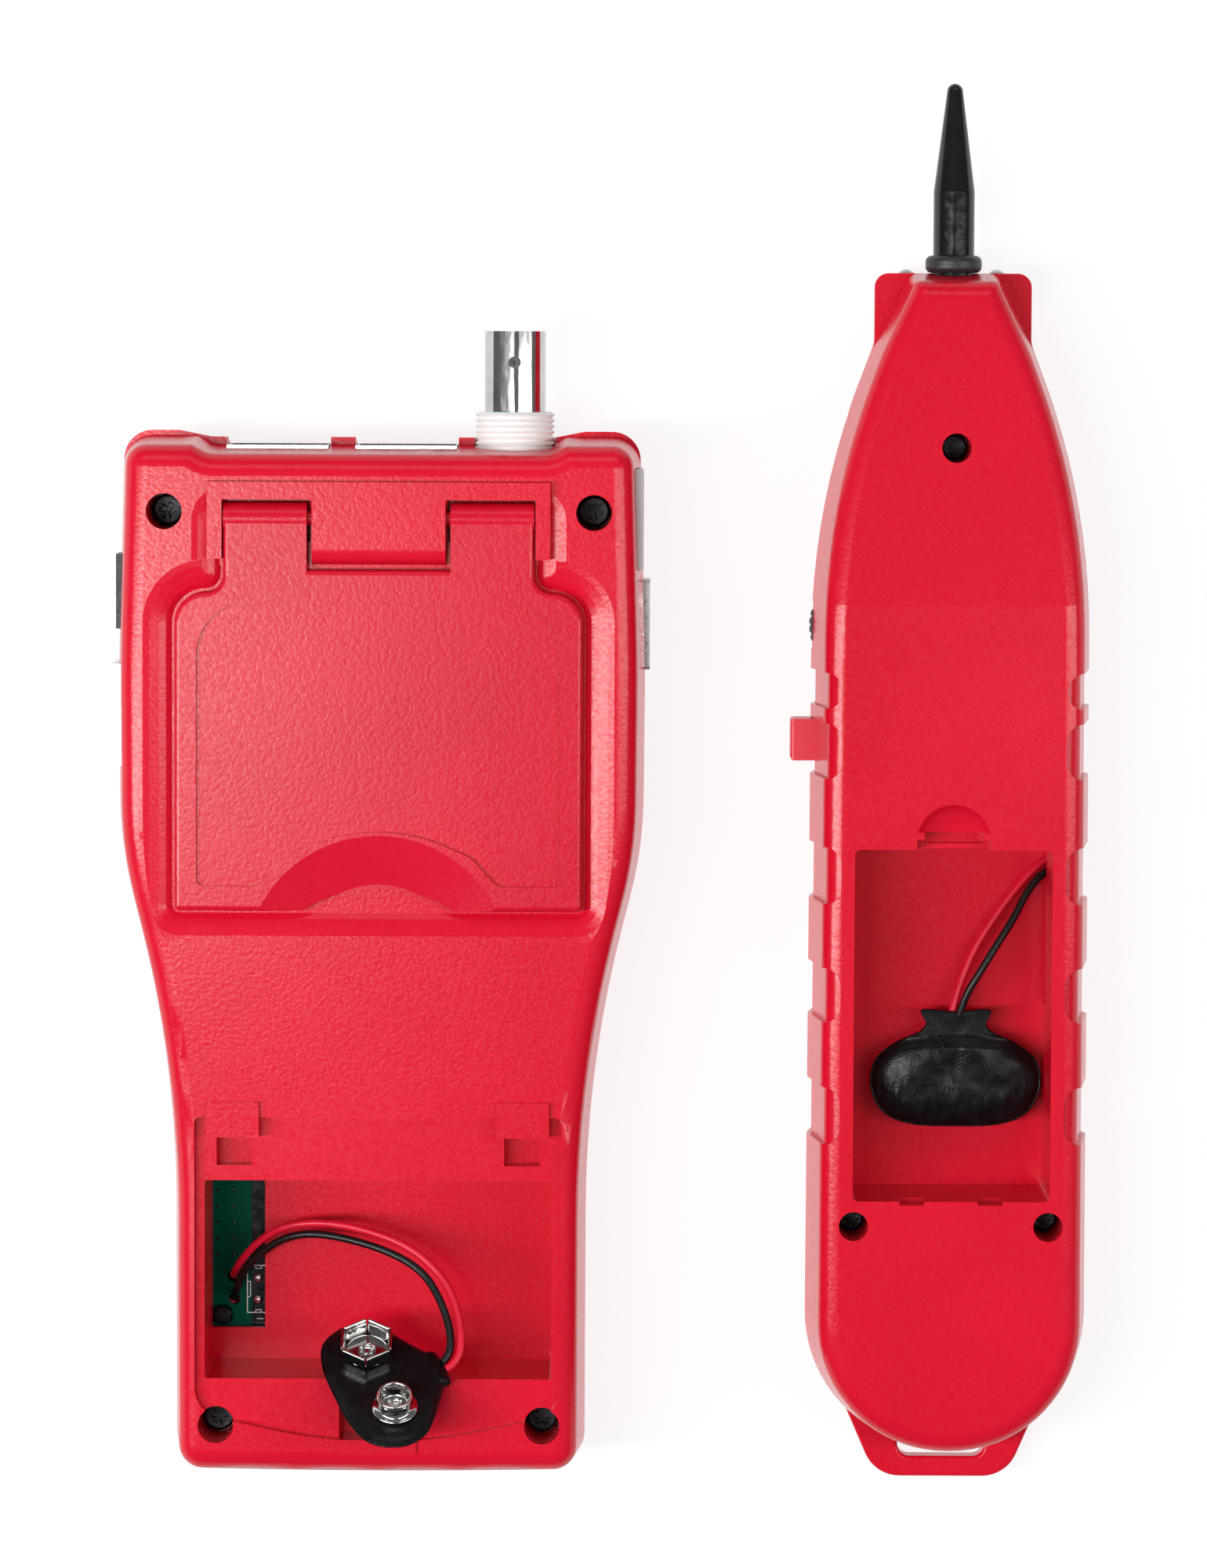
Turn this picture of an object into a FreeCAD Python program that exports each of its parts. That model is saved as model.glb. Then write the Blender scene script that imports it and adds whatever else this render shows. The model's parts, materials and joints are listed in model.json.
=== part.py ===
"""Tone probe kit: a cable tester and a tone probe lying face down with their battery doors off.

+Z is up, +Y runs towards the probe's tip. The origin is on the resting surface, under the middle
of the kit. Each device is drawn about its own centre line and then set at TESTER_X or PROBE_X.
"""
import FreeCAD, Part
import math
import os
from FreeCAD import Vector

os.makedirs("parts", exist_ok=True)

# Places of the two devices on the resting surface
TESTER_X = -35.0
PROBE_X = 55.1

# Cable tester: case outline corners (x, y, corner radius), right side, top to bottom
TESTER_SIDE = [(26.5, 54.4, 2.5), (29.0, 55.8, 2.0), (40.7, 55.8, 4.5), (41.7, 20.0, 300.0),
               (41.5, -9.1, 65.0), (32.65, -44.3, 185.0), (32.6, -108.0, 5.0)]
TESTER_FRONT_SIDE = [(27.0, 55.6, 4.0), (32.0, 56.6, 4.0), (40.7, 56.6, 4.5), (41.7, 20.0, 300.0),
                     (41.5, -9.1, 65.0), (32.65, -44.3, 185.0), (32.6, -108.0, 5.0)]
TESTER_HEEL = [(0.0, -108.7, 1200.0)]
TESTER_SPLIT_Z = 15.0
TESTER_BACK_Z = 30.5
TESTER_TOP_Z = 32.0
WALL = 2.2
SKIN = 2.0
SIDE_DRAFT = 1.5
BACK_FILLET = 3.5
LIP_GAP = 0.05
SMALLEST_CORNER = 0.2

# Tone probe: outline corners of the back shell and of the front shell, which carries the ears
PROBE_SIDE = [(7.2, 81.8, 2.6), (12.9, 69.5, 30.0), (22.0, 45.3, 115.0), (22.4, -105.6, 22.0)]
PROBE_FRONT_SIDE = [(12.4, 81.8, 2.2), (12.4, 70.8, 4.0), (22.0, 45.3, 115.0), (22.4, -105.6, 22.0)]
PROBE_SPLIT_Z = 13.5
PROBE_BACK_Z = 29.0
PROBE_DRAFT = 2.0
PROBE_FILLET = 3.2
PROBE_WALL = 2.0
EAR_THICK = 2.2
SLOPE_START_Y = 30.0
SLOPE_END_Z = 25.5
SLOPE_RUN = 51.8
SLOPE_LENGTH = 65
GROOVE_DEPTH = 0.6
GROOVE_REACH = 4.6
GROOVES = [(13.7, 19.3), (2.7, 11.4), (-17.0, -8.1), (-35.6, -27.1), (-54.9, -45.9)]

# Case screws of the probe
PROBE_SCREWS = [(0.0, 54.5), (-15.3, -67.8), (15.3, -67.8)]
PROBE_WELL_R = 2.3
PROBE_SEAT_Z = 17.0
PROBE_BOSS_R = 3.4

# Battery bay of the probe
PROBE_BAY_HALF = 15.5
PROBE_BAY_TOP_Y = -8.3
PROBE_BAY_FOOT_Y = -63.8
PROBE_BAY_FLOOR_Z = 9.5

# Push button, volume wheel and tip of the probe
BUTTON_Y = 8.1
BUTTON_Z = 13.5
BUTTON_HALF = 3.3
BUTTON_FACE_X = -25.3
WHEEL_X = -14.4
WHEEL_Y = 26.1
WHEEL_R = 8.0
WHEEL_Z = (12.3, 14.7)
TIP_END_Y = 111.6

# Case screws of the tester
TESTER_SCREWS = [(-33.5, 44.2), (33.5, 44.2), (-25.5, -99.6), (25.9, -99.6)]
SCREW_WELL_R = 2.8
SCREW_SEAT_Z = 19.0
SCREW_SHANK_R = 1.2
BOSS_R = 3.9

# Kickstand and its bracket
HINGE_Y = 43.2
HINGE_Z = 29.5
BARREL_R = 2.5
PIN_R = 1.2
PIN_CLEARANCE = 0.05
ARM_INNER_X = 11.2
ARM_OUTER_X = 24.2
BRACKET_HALF = 26.7
STAND_HALF = 31.8
STAND_FOOT_Y = -18.1
STAND_UNDER_Z = 29.6
DISH_LEVELS = [(29.2, -0.5), (29.7, -1.4), (30.1, -2.5), (30.4, -4.0), (30.6, -6.0)]

# Battery bay of the tester
DOOR_HALF = 28.8
DOOR_TOP_Y = -50.7
LEDGE_Z = 28.8
BAY_HALF = 27.3
BAY_TOP_Y = -60.9
BAY_FOOT_Y = -92.35
BAY_FLOOR_Z = 10.0
BAY_WALL = 1.5

# Circuit boards
BOARD_Z = 5.6
BOARD_THICK = 1.6

# Sockets, plug and switch in the walls of the tester
LAN_Z = (7.2, 20.7)
TOP_JACK_X = (-16.3, 3.9)
TOP_JACK_Y = 54.4
LAN_HALF = 8.0
BNC_X = 20.95
BNC_Z = 16.0
BUSHING_R = 6.35
SIDE_JACK_Y = 11.8
PLUG_Y = 43.0
PLUG_HALF = 7.9
PLUG_Z = (8.5, 24.0)
USB_Y = 26.2
SWITCH_Y = 31.2
SWITCH_REST = 1.85

# Face and circuit board of the tester
LABEL_BED_Z = 0.9
KEY_R = 4.5
KEYS = [(-16.0, -12.0), (0.0, -12.0), (16.0, -12.0), (-9.0, -26.0), (9.0, -26.0)]
BOARD_SCREWS = [(-25.6, -85.6), (20.0, -52.0), (-29.0, 23.2), (29.0, 14.0)]
TESTER_WIRE_HOLES = [(-24.1, -79.6), (-23.9, -83.2)]

# Shielded jacks: size of the shell, and each one's face centre and turn
LAN_DEPTH = 21.0
LAN_HEIGHT = LAN_Z[1] - LAN_Z[0]
SHIELD_THICK = 0.3
LAN_PLACES = {"top_1": (TOP_JACK_X[0], TOP_JACK_Y, 0), "top_2": (TOP_JACK_X[1], TOP_JACK_Y, 0),
              "side": (-42.5, SIDE_JACK_Y, 90)}

# BNC socket
BNC_FACE_Y = 53.4
BNC_LENGTH = 19.0
BARREL_OUTER_R = 4.825
BARREL_INNER_R = 4.2
BUSHING_BORE_R = 4.9
LUG_R = 0.95
LUG_REACH = 5.6
THREAD_PITCH = 0.9
THREADS = 6

# Battery snaps
STUD_PITCH = 12.7
PAD_THICK = 2.6
STUD_HIGH = 3.0
LEAD_R = 0.625

# Routes of the leads, from the snap to the board, each about its device's centre line
TESTER_RED = [(10.8, -90.5, 30.2), (12.6, -89.6, 29.9), (13.4, -85.6, 28.6), (11.9, -79.7, 25.2),
              (8.9, -75.6, 22.7), (3.9, -72.1, 20.5), (-3.7, -69.8, 18.6), (-10.3, -69.2, 17.0),
              (-15.9, -70.3, 15.0), (-19.8, -73.0, 13.0), (-22.6, -76.3, 11.4), (-24.0, -79.0, 9.4),
              (-24.1, -79.6, 5.7)]
TESTER_BLACK = [(10.2, -89.6, 29.1), (11.5, -88.4, 28.7), (11.4, -84.6, 27.3), (9.7, -80.3, 24.6),
                (7.0, -76.4, 22.0), (2.1, -73.7, 20.0), (-4.9, -71.8, 17.8), (-11.2, -71.1, 16.0),
                (-15.9, -72.3, 14.2), (-19.5, -75.0, 12.6), (-22.4, -78.2, 11.0), (-23.5, -81.5, 9.8),
                (-23.9, -83.1, 6.0)]
PROBE_BLACK = [(2.0, -35.8, 14.3), (2.7, -33.0, 14.9), (4.9, -29.3, 15.4), (7.6, -24.8, 15.0),
               (10.4, -20.6, 14.0), (12.7, -16.0, 13.0), (15.2, -13.2, 12.2), (17.8, -12.6, 10.8),
               (18.1, -12.9, 8.0), (18.0, -13.2, 5.7)]
PROBE_RED = [(0.7, -35.8, 13.6), (1.5, -33.0, 13.3), (2.6, -29.6, 12.9), (4.0, -26.2, 12.6),
             (6.2, -22.4, 12.4), (9.4, -17.8, 12.0), (12.8, -13.6, 11.6), (15.6, -11.2, 11.2),
             (17.9, -10.2, 10.3), (18.2, -10.4, 8.0), (18.0, -10.5, 5.7)]

# Circuit board and lamps of the probe
PROBE_BOARD_Z = 5.0
PROBE_BOARD_SCREWS = [(-12.5, 40.0), (12.5, 40.0)]
PROBE_WIRE_HOLES = [(18.0, -13.2), (18.0, -10.5)]
LAMP_X = (-7.2, 7.2)
LAMP_Z = 8.0
LAMP_R = 1.5
SIGNAL_X = (-4.0, 4.0)
SIGNAL_Y = 12.0


def place(shape, x):
    """Copy of a shape drawn about a device's centre line, set at that device's place."""
    moved = shape.copy()
    moved.translate(Vector(x, 0, 0))
    return moved


def save(node, shape, x=0.0):
    """Write one node's STEP file."""
    part = place(shape, x).removeSplitter()
    print(f"{node}: solids {len(part.Solids)}, valid {part.isValid()}, volume {part.Volume:.1f}")
    part.exportStep(f"parts/{node}.step")


def box(x_span, y_span, z_span):
    """Box between the pairs of limits along X, Y and Z."""
    size = [span[1] - span[0] for span in (x_span, y_span, z_span)]
    return Part.makeBox(*size, Vector(x_span[0], y_span[0], z_span[0]))


def pillar(x, y, radius, z_span):
    """Upright cylinder at (x, y) between two heights."""
    return Part.makeCylinder(radius, z_span[1] - z_span[0], Vector(x, y, z_span[0]))


def rod(start, end, radius):
    """Cylinder from one point to another."""
    way = Vector(*end) - Vector(*start)
    return Part.makeCylinder(radius, way.Length, Vector(*start), way)


def fuse(*shapes):
    """One solid made of several."""
    return shapes[0].multiFuse(list(shapes[1:]))


def cut(shape, *tools):
    """A shape with the others taken away."""
    return shape.cut(Part.makeCompound(list(tools)))


def group(shapes):
    """Several separate solids kept in one node."""
    return Part.makeCompound(list(shapes))


def soften(shape, radius, chosen):
    """Round the edges that the test chooses, as far as the geometry allows."""
    edges = [edge for edge in shape.Edges if chosen(edge.BoundBox)]
    for size in (radius, radius * 0.7, radius * 0.4):
        try:
            rounded = shape.makeFillet(size, edges)
            if rounded.isValid() and rounded.Volume > 0:
                return rounded
        except Part.OCCError:
            continue
    print("  fillet left out")
    return shape


def both_sides(right, middle=()):
    """Corners of a symmetric outline from its right-hand half."""
    return list(right) + list(middle) + [(-x, y, radius) for x, y, radius in reversed(right)]


def rounded_wire(corners, inset=0.0, z=0.0):
    """Closed wire through corners (x, y, radius), clockwise from above; inset moves it inwards."""
    count = len(corners)
    points = [Vector(corner[0], corner[1], 0) for corner in corners]
    ways = [(points[(i + 1) % count] - points[i]).normalize() for i in range(count)]
    stops = []
    for i, point in enumerate(points):
        before, after = ways[i - 1], ways[i]
        inward = Vector(before.y, -before.x, 0) + Vector(after.y, -after.x, 0)
        corner = point + inward * (inset / (1 + before.dot(after)))
        convex = before.x * after.y - before.y * after.x < 0
        radius = max(corners[i][2] - inset if convex else corners[i][2] + inset, SMALLEST_CORNER)
        half = before.getAngle(after) / 2
        reach = radius * math.tan(half)
        middle = corner + (after - before).normalize() * (radius / math.cos(half) - radius)
        stops.append((corner - before * reach, middle, corner + after * reach))
    edges = []
    for i, (start, middle, end) in enumerate(stops):
        edges.append(Part.Arc(start, middle, end).toShape())
        edges.append(Part.LineSegment(end, stops[(i + 1) % count][0]).toShape())
    wire = Part.Wire(edges)
    wire.translate(Vector(0, 0, z))
    return wire


def plate(corners, z_span, inset=0.0):
    """Upright prism on a rounded outline."""
    face = Part.Face(rounded_wire(corners, inset, z_span[0]))
    return face.extrude(Vector(0, 0, z_span[1] - z_span[0]))


def loft(corners, levels):
    """Drafted solid through the outline at each (height, inset)."""
    return Part.makeLoft([rounded_wire(corners, inset, z) for z, inset in levels], True, True)


def rectangle(x_span, y_span, radius):
    """Corners of a rounded rectangle, clockwise from above."""
    return [(x_span[0], y_span[1], radius), (x_span[1], y_span[1], radius),
            (x_span[1], y_span[0], radius), (x_span[0], y_span[0], radius)]


# ---------------------------------------------------------------- cable tester: case

TESTER_OUTLINE = both_sides(TESTER_SIDE, TESTER_HEEL)
TESTER_FRONT_OUTLINE = both_sides(TESTER_FRONT_SIDE, TESTER_HEEL)


def wall_openings():
    """Cuts for the jacks, the BNC bushing and the power switch in the case walls."""
    gap = 0.15
    jacks = [box((x - LAN_HALF - gap, x + LAN_HALF + gap), (50, 60), (LAN_Z[0] - gap, LAN_Z[1] + gap))
             for x in TOP_JACK_X]
    side = box((-46, -36), (SIDE_JACK_Y - LAN_HALF - gap, SIDE_JACK_Y + LAN_HALF + gap),
               (LAN_Z[0] - gap, LAN_Z[1] + gap))
    plug = box((36, 46), (PLUG_Y - PLUG_HALF - gap, PLUG_Y + PLUG_HALF + gap),
               (PLUG_Z[0] - gap, PLUG_Z[1] + gap))
    usb = box((36, 46), (USB_Y - 7.2 - gap, USB_Y + 7.2 + gap), (9.0 - gap, 16.0 + gap))
    switch = box((-46, -36), (SWITCH_Y - 6.0, SWITCH_Y + 6.0), (11.3, 18.7))
    bushing = rod((BNC_X, 50, BNC_Z), (BNC_X, 60, BNC_Z), BUSHING_R + gap)
    return jacks + [side, plug, usb, switch, bushing]


def door_outline():
    """Corners of the shallow recess that the tester's battery door sits in."""
    return both_sides([(DOOR_HALF, DOOR_TOP_Y, 1.0), (DOOR_HALF, -97.6, 5.0)], [(0.0, -104.0, 80.0)])


def tester_bay_cuts():
    """Door recess, battery bay, latch notch and clip holes cut into the tester's back."""
    recess = plate(door_outline(), (LEDGE_Z, TESTER_TOP_Z))
    bay = plate(rectangle((-BAY_HALF, BAY_HALF), (BAY_FOOT_Y, BAY_TOP_Y), 0.4),
                (BAY_FLOOR_Z, TESTER_TOP_Z))
    window = box((-BAY_HALF, -18.8), (-87.4, BAY_TOP_Y), (BAY_FLOOR_Z - 3, BAY_FLOOR_Z + 1))
    latch = box((-6.1, 6.1), (-101.7, -96.5), (23.6, TESTER_TOP_Z))
    holes = [box((side * 22.6 - 2.8, side * 22.6 + 2.8), (-58.5, -54.0), (25.4, TESTER_TOP_Z))
             for side in (-1, 1)]
    return [recess, bay, window, latch] + holes


def tester_bay_walls():
    """Solid that backs the battery bay, the door ledge and the hook pockets inside the tester."""
    tub = plate(rectangle((-BAY_HALF - BAY_WALL, BAY_HALF + BAY_WALL),
                          (BAY_FOOT_Y - BAY_WALL, BAY_TOP_Y + BAY_WALL), 1.5),
                (BAY_FLOOR_Z - BAY_WALL, LEDGE_Z))
    ledge = plate(door_outline(), (LEDGE_Z - SKIN, LEDGE_Z), -1.0)
    pockets = box((-28.0, 28.0), (-60.0, -52.5), (23.4, LEDGE_Z))
    latch = box((-7.6, 7.6), (-103.2, -92.5), (22.0, LEDGE_Z))
    return [tub, ledge, pockets, latch]


def stand_outline():
    """Corners of the kickstand seen from above, without the notch between its arms."""
    return both_sides([(ARM_OUTER_X, HINGE_Y, 0.3), (ARM_OUTER_X, 31.9, 2.8), (STAND_HALF, 31.4, 4.8),
                       (STAND_HALF, STAND_FOOT_Y, 0.8)])


def kickstand_bracket():
    """Raised frame that carries the kickstand's pins."""
    height = (TESTER_BACK_Z - 1.5, TESTER_TOP_Z)
    bar = box((-BRACKET_HALF, BRACKET_HALF), (46.15, 48.9), height)
    legs = [box((min(a, b), max(a, b)), (36.9, 48.9), height)
            for a, b in ((-BRACKET_HALF, -24.4), (BRACKET_HALF, 24.4))]
    nose = rod((-10.4, 38.4, TESTER_TOP_Z - 2.4), (10.4, 38.4, TESTER_TOP_Z - 2.4), 2.4)
    block = box((-10.4, 10.4), (38.4, 48.9), (TESTER_BACK_Z - 3.0, TESTER_TOP_Z))
    return [bar, block, nose] + legs


def hinge_wells():
    """Pockets that the kickstand's two barrels turn in."""
    wells = []
    for side in (-1, 1):
        inner, outer = side * (ARM_INNER_X - 0.5), side * (ARM_OUTER_X + 0.2)
        span = (min(inner, outer), max(inner, outer))
        wells.append(box(span, (39.5, 46.15), (26.7, TESTER_TOP_Z + 1)))
        wells.append(box(span, (35.0, 40.0), (29.2, TESTER_TOP_Z + 1)))
    return wells


def screw_wells(places, radius, seat, top, shank):
    """Stepped holes for case screws: a well down to the seat and a clearance hole below it."""
    wells = []
    for x, y in places:
        wells.append(pillar(x, y, radius, (seat, top)))
        wells.append(pillar(x, y, shank + 0.25, (seat - 8, seat)))
    return wells


def tester_back_case():
    """Back shell of the tester with its bracket, battery bay and screw wells."""
    outer = loft(TESTER_OUTLINE, [(TESTER_SPLIT_Z, 0), (TESTER_BACK_Z, SIDE_DRAFT)])
    outer = soften(outer, BACK_FILLET, lambda b: b.ZMin > TESTER_BACK_Z - 0.1)
    inner = loft(TESTER_OUTLINE, [(TESTER_SPLIT_Z - 1, WALL), (TESTER_BACK_Z - SKIN, SIDE_DRAFT + WALL)])
    dish = loft(stand_outline(), DISH_LEVELS)
    shell = cut(outer, inner, dish)
    backing = plate(stand_outline(), (STAND_UNDER_Z - 0.4 - SKIN, STAND_UNDER_Z - 0.4), -3.5)
    hinge_backing = box((-27.5, 27.5), (36.0, 49.5), (25.2, TESTER_BACK_Z - 1.2))
    bosses = [pillar(x, y, BOSS_R, (TESTER_SPLIT_Z + LIP_GAP, 29.2)) for x, y in TESTER_SCREWS]
    room = loft(TESTER_OUTLINE, [(TESTER_SPLIT_Z, 0.4), (TESTER_BACK_Z, SIDE_DRAFT + 0.4)])
    bosses = [boss.common(room) for boss in bosses]
    shell = fuse(shell, backing, hinge_backing, *bosses, *tester_bay_walls(), *kickstand_bracket())
    shell = cut(shell, *tester_bay_cuts(), *hinge_wells(), *wall_openings(),
                *screw_wells(TESTER_SCREWS, SCREW_WELL_R, SCREW_SEAT_Z, 40, SCREW_SHANK_R))
    bridges = [box((side * 22.75 - 4.1, side * 22.75 + 4.1), (-53.8, -48.2), (LEDGE_Z - 0.4, 31.3))
               for side in (-1, 1)]
    lip = box((-6.1, 6.1), (-103.9, -101.7), (LEDGE_Z - 1, 31.0))
    bore = rod((-26.2, HINGE_Y, HINGE_Z), (26.2, HINGE_Y, HINGE_Z), PIN_R + PIN_CLEARANCE)
    return cut(fuse(shell, lip, *bridges), bore)


def tester_front_case():
    """Front shell of the tester, face down, with its display window, key holes and screw posts."""
    outer = loft(TESTER_FRONT_OUTLINE, [(0, 2.2), (TESTER_SPLIT_Z, 0)])
    outer = soften(outer, 2.0, lambda b: b.ZMax < 0.1)
    inner = loft(TESTER_FRONT_OUTLINE, [(SKIN, WALL + 1.8), (TESTER_SPLIT_Z + 1, WALL)])
    label_bed = plate(label_outline(), (0, LABEL_BED_Z))
    window = box((-25.0, 25.0), (2.0, 36.0), (-1, SKIN + 1))
    keys = [pillar(x, y, KEY_R + 0.2, (-1, SKIN + 1)) for x, y in KEYS]
    shell = cut(outer, inner, label_bed)
    posts = [pillar(x, y, BOSS_R, (SKIN - 0.5, TESTER_SPLIT_Z)) for x, y in TESTER_SCREWS]
    posts = [post.common(loft(TESTER_FRONT_OUTLINE, [(0, 2.6), (TESTER_SPLIT_Z, 0.4)])) for post in posts]
    rests = [pillar(x, y, 2.4, (SKIN - 0.5, BOARD_Z)) for x, y in BOARD_SCREWS]
    shell = fuse(shell, *posts, *rests)
    threads = [pillar(x, y, SCREW_SHANK_R + 0.05, (6.0, 20)) for x, y in TESTER_SCREWS]
    pilots = [pillar(x, y, 0.85, (SKIN + 0.6, BOARD_Z + 1)) for x, y in BOARD_SCREWS]
    return cut(shell, window, *keys, *threads, *pilots, *wall_openings())


def label_outline():
    """Corners of the shallow bed in the tester's face for its printed overlay."""
    return both_sides([(34.0, 50.0, 4.0), (34.0, -4.0, 30.0), (26.5, -38.0, 30.0), (26.5, -100.0, 4.0)])


def tester_front_label():
    """Thin overlay round the display window and the keys."""
    sheet = plate(label_outline(), (0.4, LABEL_BED_Z), 0.2)
    window = box((-22.0, 22.0), (5.0, 33.0), (0, 2))
    keys = [pillar(x, y, KEY_R + 0.3, (0, 2)) for x, y in KEYS]
    return cut(sheet, window, *keys)


def display_parts():
    """Lens over the display window and the display module behind it."""
    lens = box((-24.8, 24.8), (2.2, 35.8), (LABEL_BED_Z, SKIN + 0.2))
    module = box((-24.6, 24.6), (3.0, 35.0), (SKIN + 0.25, BOARD_Z - 0.05))
    return lens, module


def key_cap(x, y):
    """One push button of the face with the flange that keeps it in."""
    cap = pillar(x, y, KEY_R, (0.45, SKIN + 0.1))
    cap = soften(cap, 0.3, lambda b: b.ZMax < 0.5)
    flange = pillar(x, y, KEY_R + 0.9, (SKIN + 0.05, SKIN + 0.65))
    return fuse(cap, flange)


def key_switches():
    """Tactile switches that the keys press, soldered under the board."""
    return group(box((x - 3, x + 3), (y - 3, y + 3), (3.75, BOARD_Z - 0.02)) for x, y in KEYS)


def tester_board():
    """Circuit board of the tester, cut away round the screw posts."""
    outline = both_sides([(24.0, 50.2, 1.0), (27.5, 46.0, 1.0), (27.5, 38.0, 1.0), (37.0, 37.0, 2.0),
                          (37.0, -8.0, 20.0), (28.6, -46.0, 40.0), (28.6, -93.6, 1.0)])
    board = plate(outline, (BOARD_Z, BOARD_Z + BOARD_THICK))
    holes = [pillar(x, y, 1.05, (BOARD_Z - 1, BOARD_Z + 3)) for x, y in BOARD_SCREWS]
    wires = [pillar(x, y, 0.95, (BOARD_Z - 1, BOARD_Z + 3)) for x, y in TESTER_WIRE_HOLES]
    return cut(board, *holes, *wires)


def case_screw(x, y, seat, foot, head_r, shank_r):
    """Case screw with a star recess in its head."""
    head = soften(pillar(x, y, head_r, (seat, seat + 2.2)), 0.5, lambda b: b.ZMin > seat + 2.1)
    shank = pillar(x, y, shank_r, (foot, seat))
    star = [box((x - 1.35, x + 1.35), (y - 0.4, y + 0.4), (seat + 1.0, seat + 3)) for _ in range(3)]
    for turn, bar in enumerate(star):
        bar.rotate(Vector(x, y, 0), Vector(0, 0, 1), 60 * turn)
    return cut(fuse(head, shank), *star)


def tester_screws():
    """The four screws that close the tester."""
    return group(case_screw(x, y, SCREW_SEAT_Z, 7.0, 2.5, SCREW_SHANK_R) for x, y in TESTER_SCREWS)


def board_screws():
    """Small screws that hold the tester's board to the front shell."""
    top = BOARD_Z + BOARD_THICK
    return group(case_screw(x, y, top, 3.2, 1.5, 0.8) for x, y in BOARD_SCREWS)


def kickstand():
    """Folding stand: plate with a sunk panel and finger scoop, two arms, barrels and pins."""
    span = (STAND_UNDER_Z, TESTER_TOP_Z)
    sheet = plate(stand_outline(), span)
    scoop = Part.makeCone(13.0, 21.2, 1.9, Vector(0, -27.0, 30.2))
    arch = pillar(0, -36.8, 22.1, (28, 34))
    notch = box((-ARM_INNER_X, ARM_INNER_X), (35.2, 50), (28, 34))
    sheet = cut(sheet, arch, notch)
    sheet = soften(sheet, 0.8, lambda b: b.ZMin > TESTER_TOP_Z - 0.01 and b.YMax < 36)
    panel = plate(both_sides([(28.4, 30.3, 8.5), (28.4, -14.2, 1.2), (18.6, -14.2, 3.0), (14.5, -9.6, 5.0)],
                             [(0, -3.3, 26.0)]), (TESTER_TOP_Z - 0.6, TESTER_TOP_Z + 1))
    sheet = cut(sheet, panel, scoop)
    barrels = [rod((side * ARM_INNER_X, HINGE_Y, HINGE_Z), (side * ARM_OUTER_X, HINGE_Y, HINGE_Z), BARREL_R)
               for side in (-1, 1)]
    pins = [rod((side * 9.0, HINGE_Y, HINGE_Z), (side * 26.0, HINGE_Y, HINGE_Z), PIN_R) for side in (-1, 1)]
    return fuse(sheet, *barrels, *pins)


# ---------------------------------------------------------------- cable tester: connectors


def lan_jack():
    """Shielded modular jack as (shield, insert, contacts), mouth facing +Y with its face at y = 0."""
    half, high = LAN_HALF, LAN_HEIGHT
    shell = box((-half, half), (-LAN_DEPTH, 0), (0, high))
    hollow = box((-half + SHIELD_THICK, half - SHIELD_THICK), (-LAN_DEPTH + SHIELD_THICK, 1),
                 (SHIELD_THICK, high - SHIELD_THICK))
    shield = cut(shell, hollow)
    gap = 0.02
    body = box((-half + SHIELD_THICK + gap, half - SHIELD_THICK - gap), (-LAN_DEPTH + 0.5, -0.3),
               (SHIELD_THICK + gap, high - SHIELD_THICK - gap))
    mouth = box((-5.9, 5.9), (-14.0, 1), (2.4, 9.4))
    latch = box((-3.1, 3.1), (-14.0, 1), (9.2, 11.2))
    tongue = box((-1.7, 1.7), (-14.0, 1), (11.0, 12.4))
    insert = cut(body, mouth, latch, tongue)
    pitch = 1.02
    places = [pitch * (i - 3.5) for i in range(8)]
    slots = [box((x - 0.22, x + 0.22), (-14.1, -4.0), (2.0, 2.4 + 0.1)) for x in places]
    insert = cut(insert, *slots)
    wires = [fuse(box((x - 0.2, x + 0.2), (-13.9, -4.2), (2.05, 2.45)),
                  rod((x, -4.6, 2.25), (x, -12.6, 4.0), 0.2)) for x in places]
    return shield, insert, group(wires)


def set_jack(shape, x, y, turn):
    """Copy of a connector turned about +Z and moved onto the board."""
    moved = shape.copy()
    moved.rotate(Vector(0, 0, 0), Vector(0, 0, 1), turn)
    moved.translate(Vector(x, y, LAN_Z[0] + 0.02))
    return moved


def side_port_plug():
    """Light grey blank that closes a shallow port opening in the right-hand wall."""
    face = box((38.0, 41.3), (PLUG_Y - PLUG_HALF, PLUG_Y + PLUG_HALF), PLUG_Z)
    face = soften(face, 0.4, lambda b: b.XMin > 41.2)
    return cut(face, box((37, 38.6), (PLUG_Y - 4.4, PLUG_Y + 4.4), (PLUG_Z[0] + 1, PLUG_Z[1] - 1)))


def usb_port():
    """Metal shell and tongue of the rectangular port on the right-hand wall."""
    shell = box((28.0, 42.4), (USB_Y - 7.2, USB_Y + 7.2), (9.0, 16.0))
    shell = soften(shell, 0.5, lambda b: b.XLength > 10)
    shell = cut(shell, box((28.4, 43), (USB_Y - 6.8, USB_Y + 6.8), (9.4, 15.6)))
    feet = [box((30.0, 34.0), (USB_Y + side - 0.4, USB_Y + side + 0.4), (7.22, 9.1)) for side in (-5, 5)]
    tongue = fuse(box((30.0, 41.6), (USB_Y - 5.4, USB_Y + 5.4), (11.4, 12.9)),
                  box((28.45, 31.0), (USB_Y - 6.7, USB_Y + 6.7), (9.45, 15.55)))
    return fuse(shell, *feet), tongue


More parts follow.
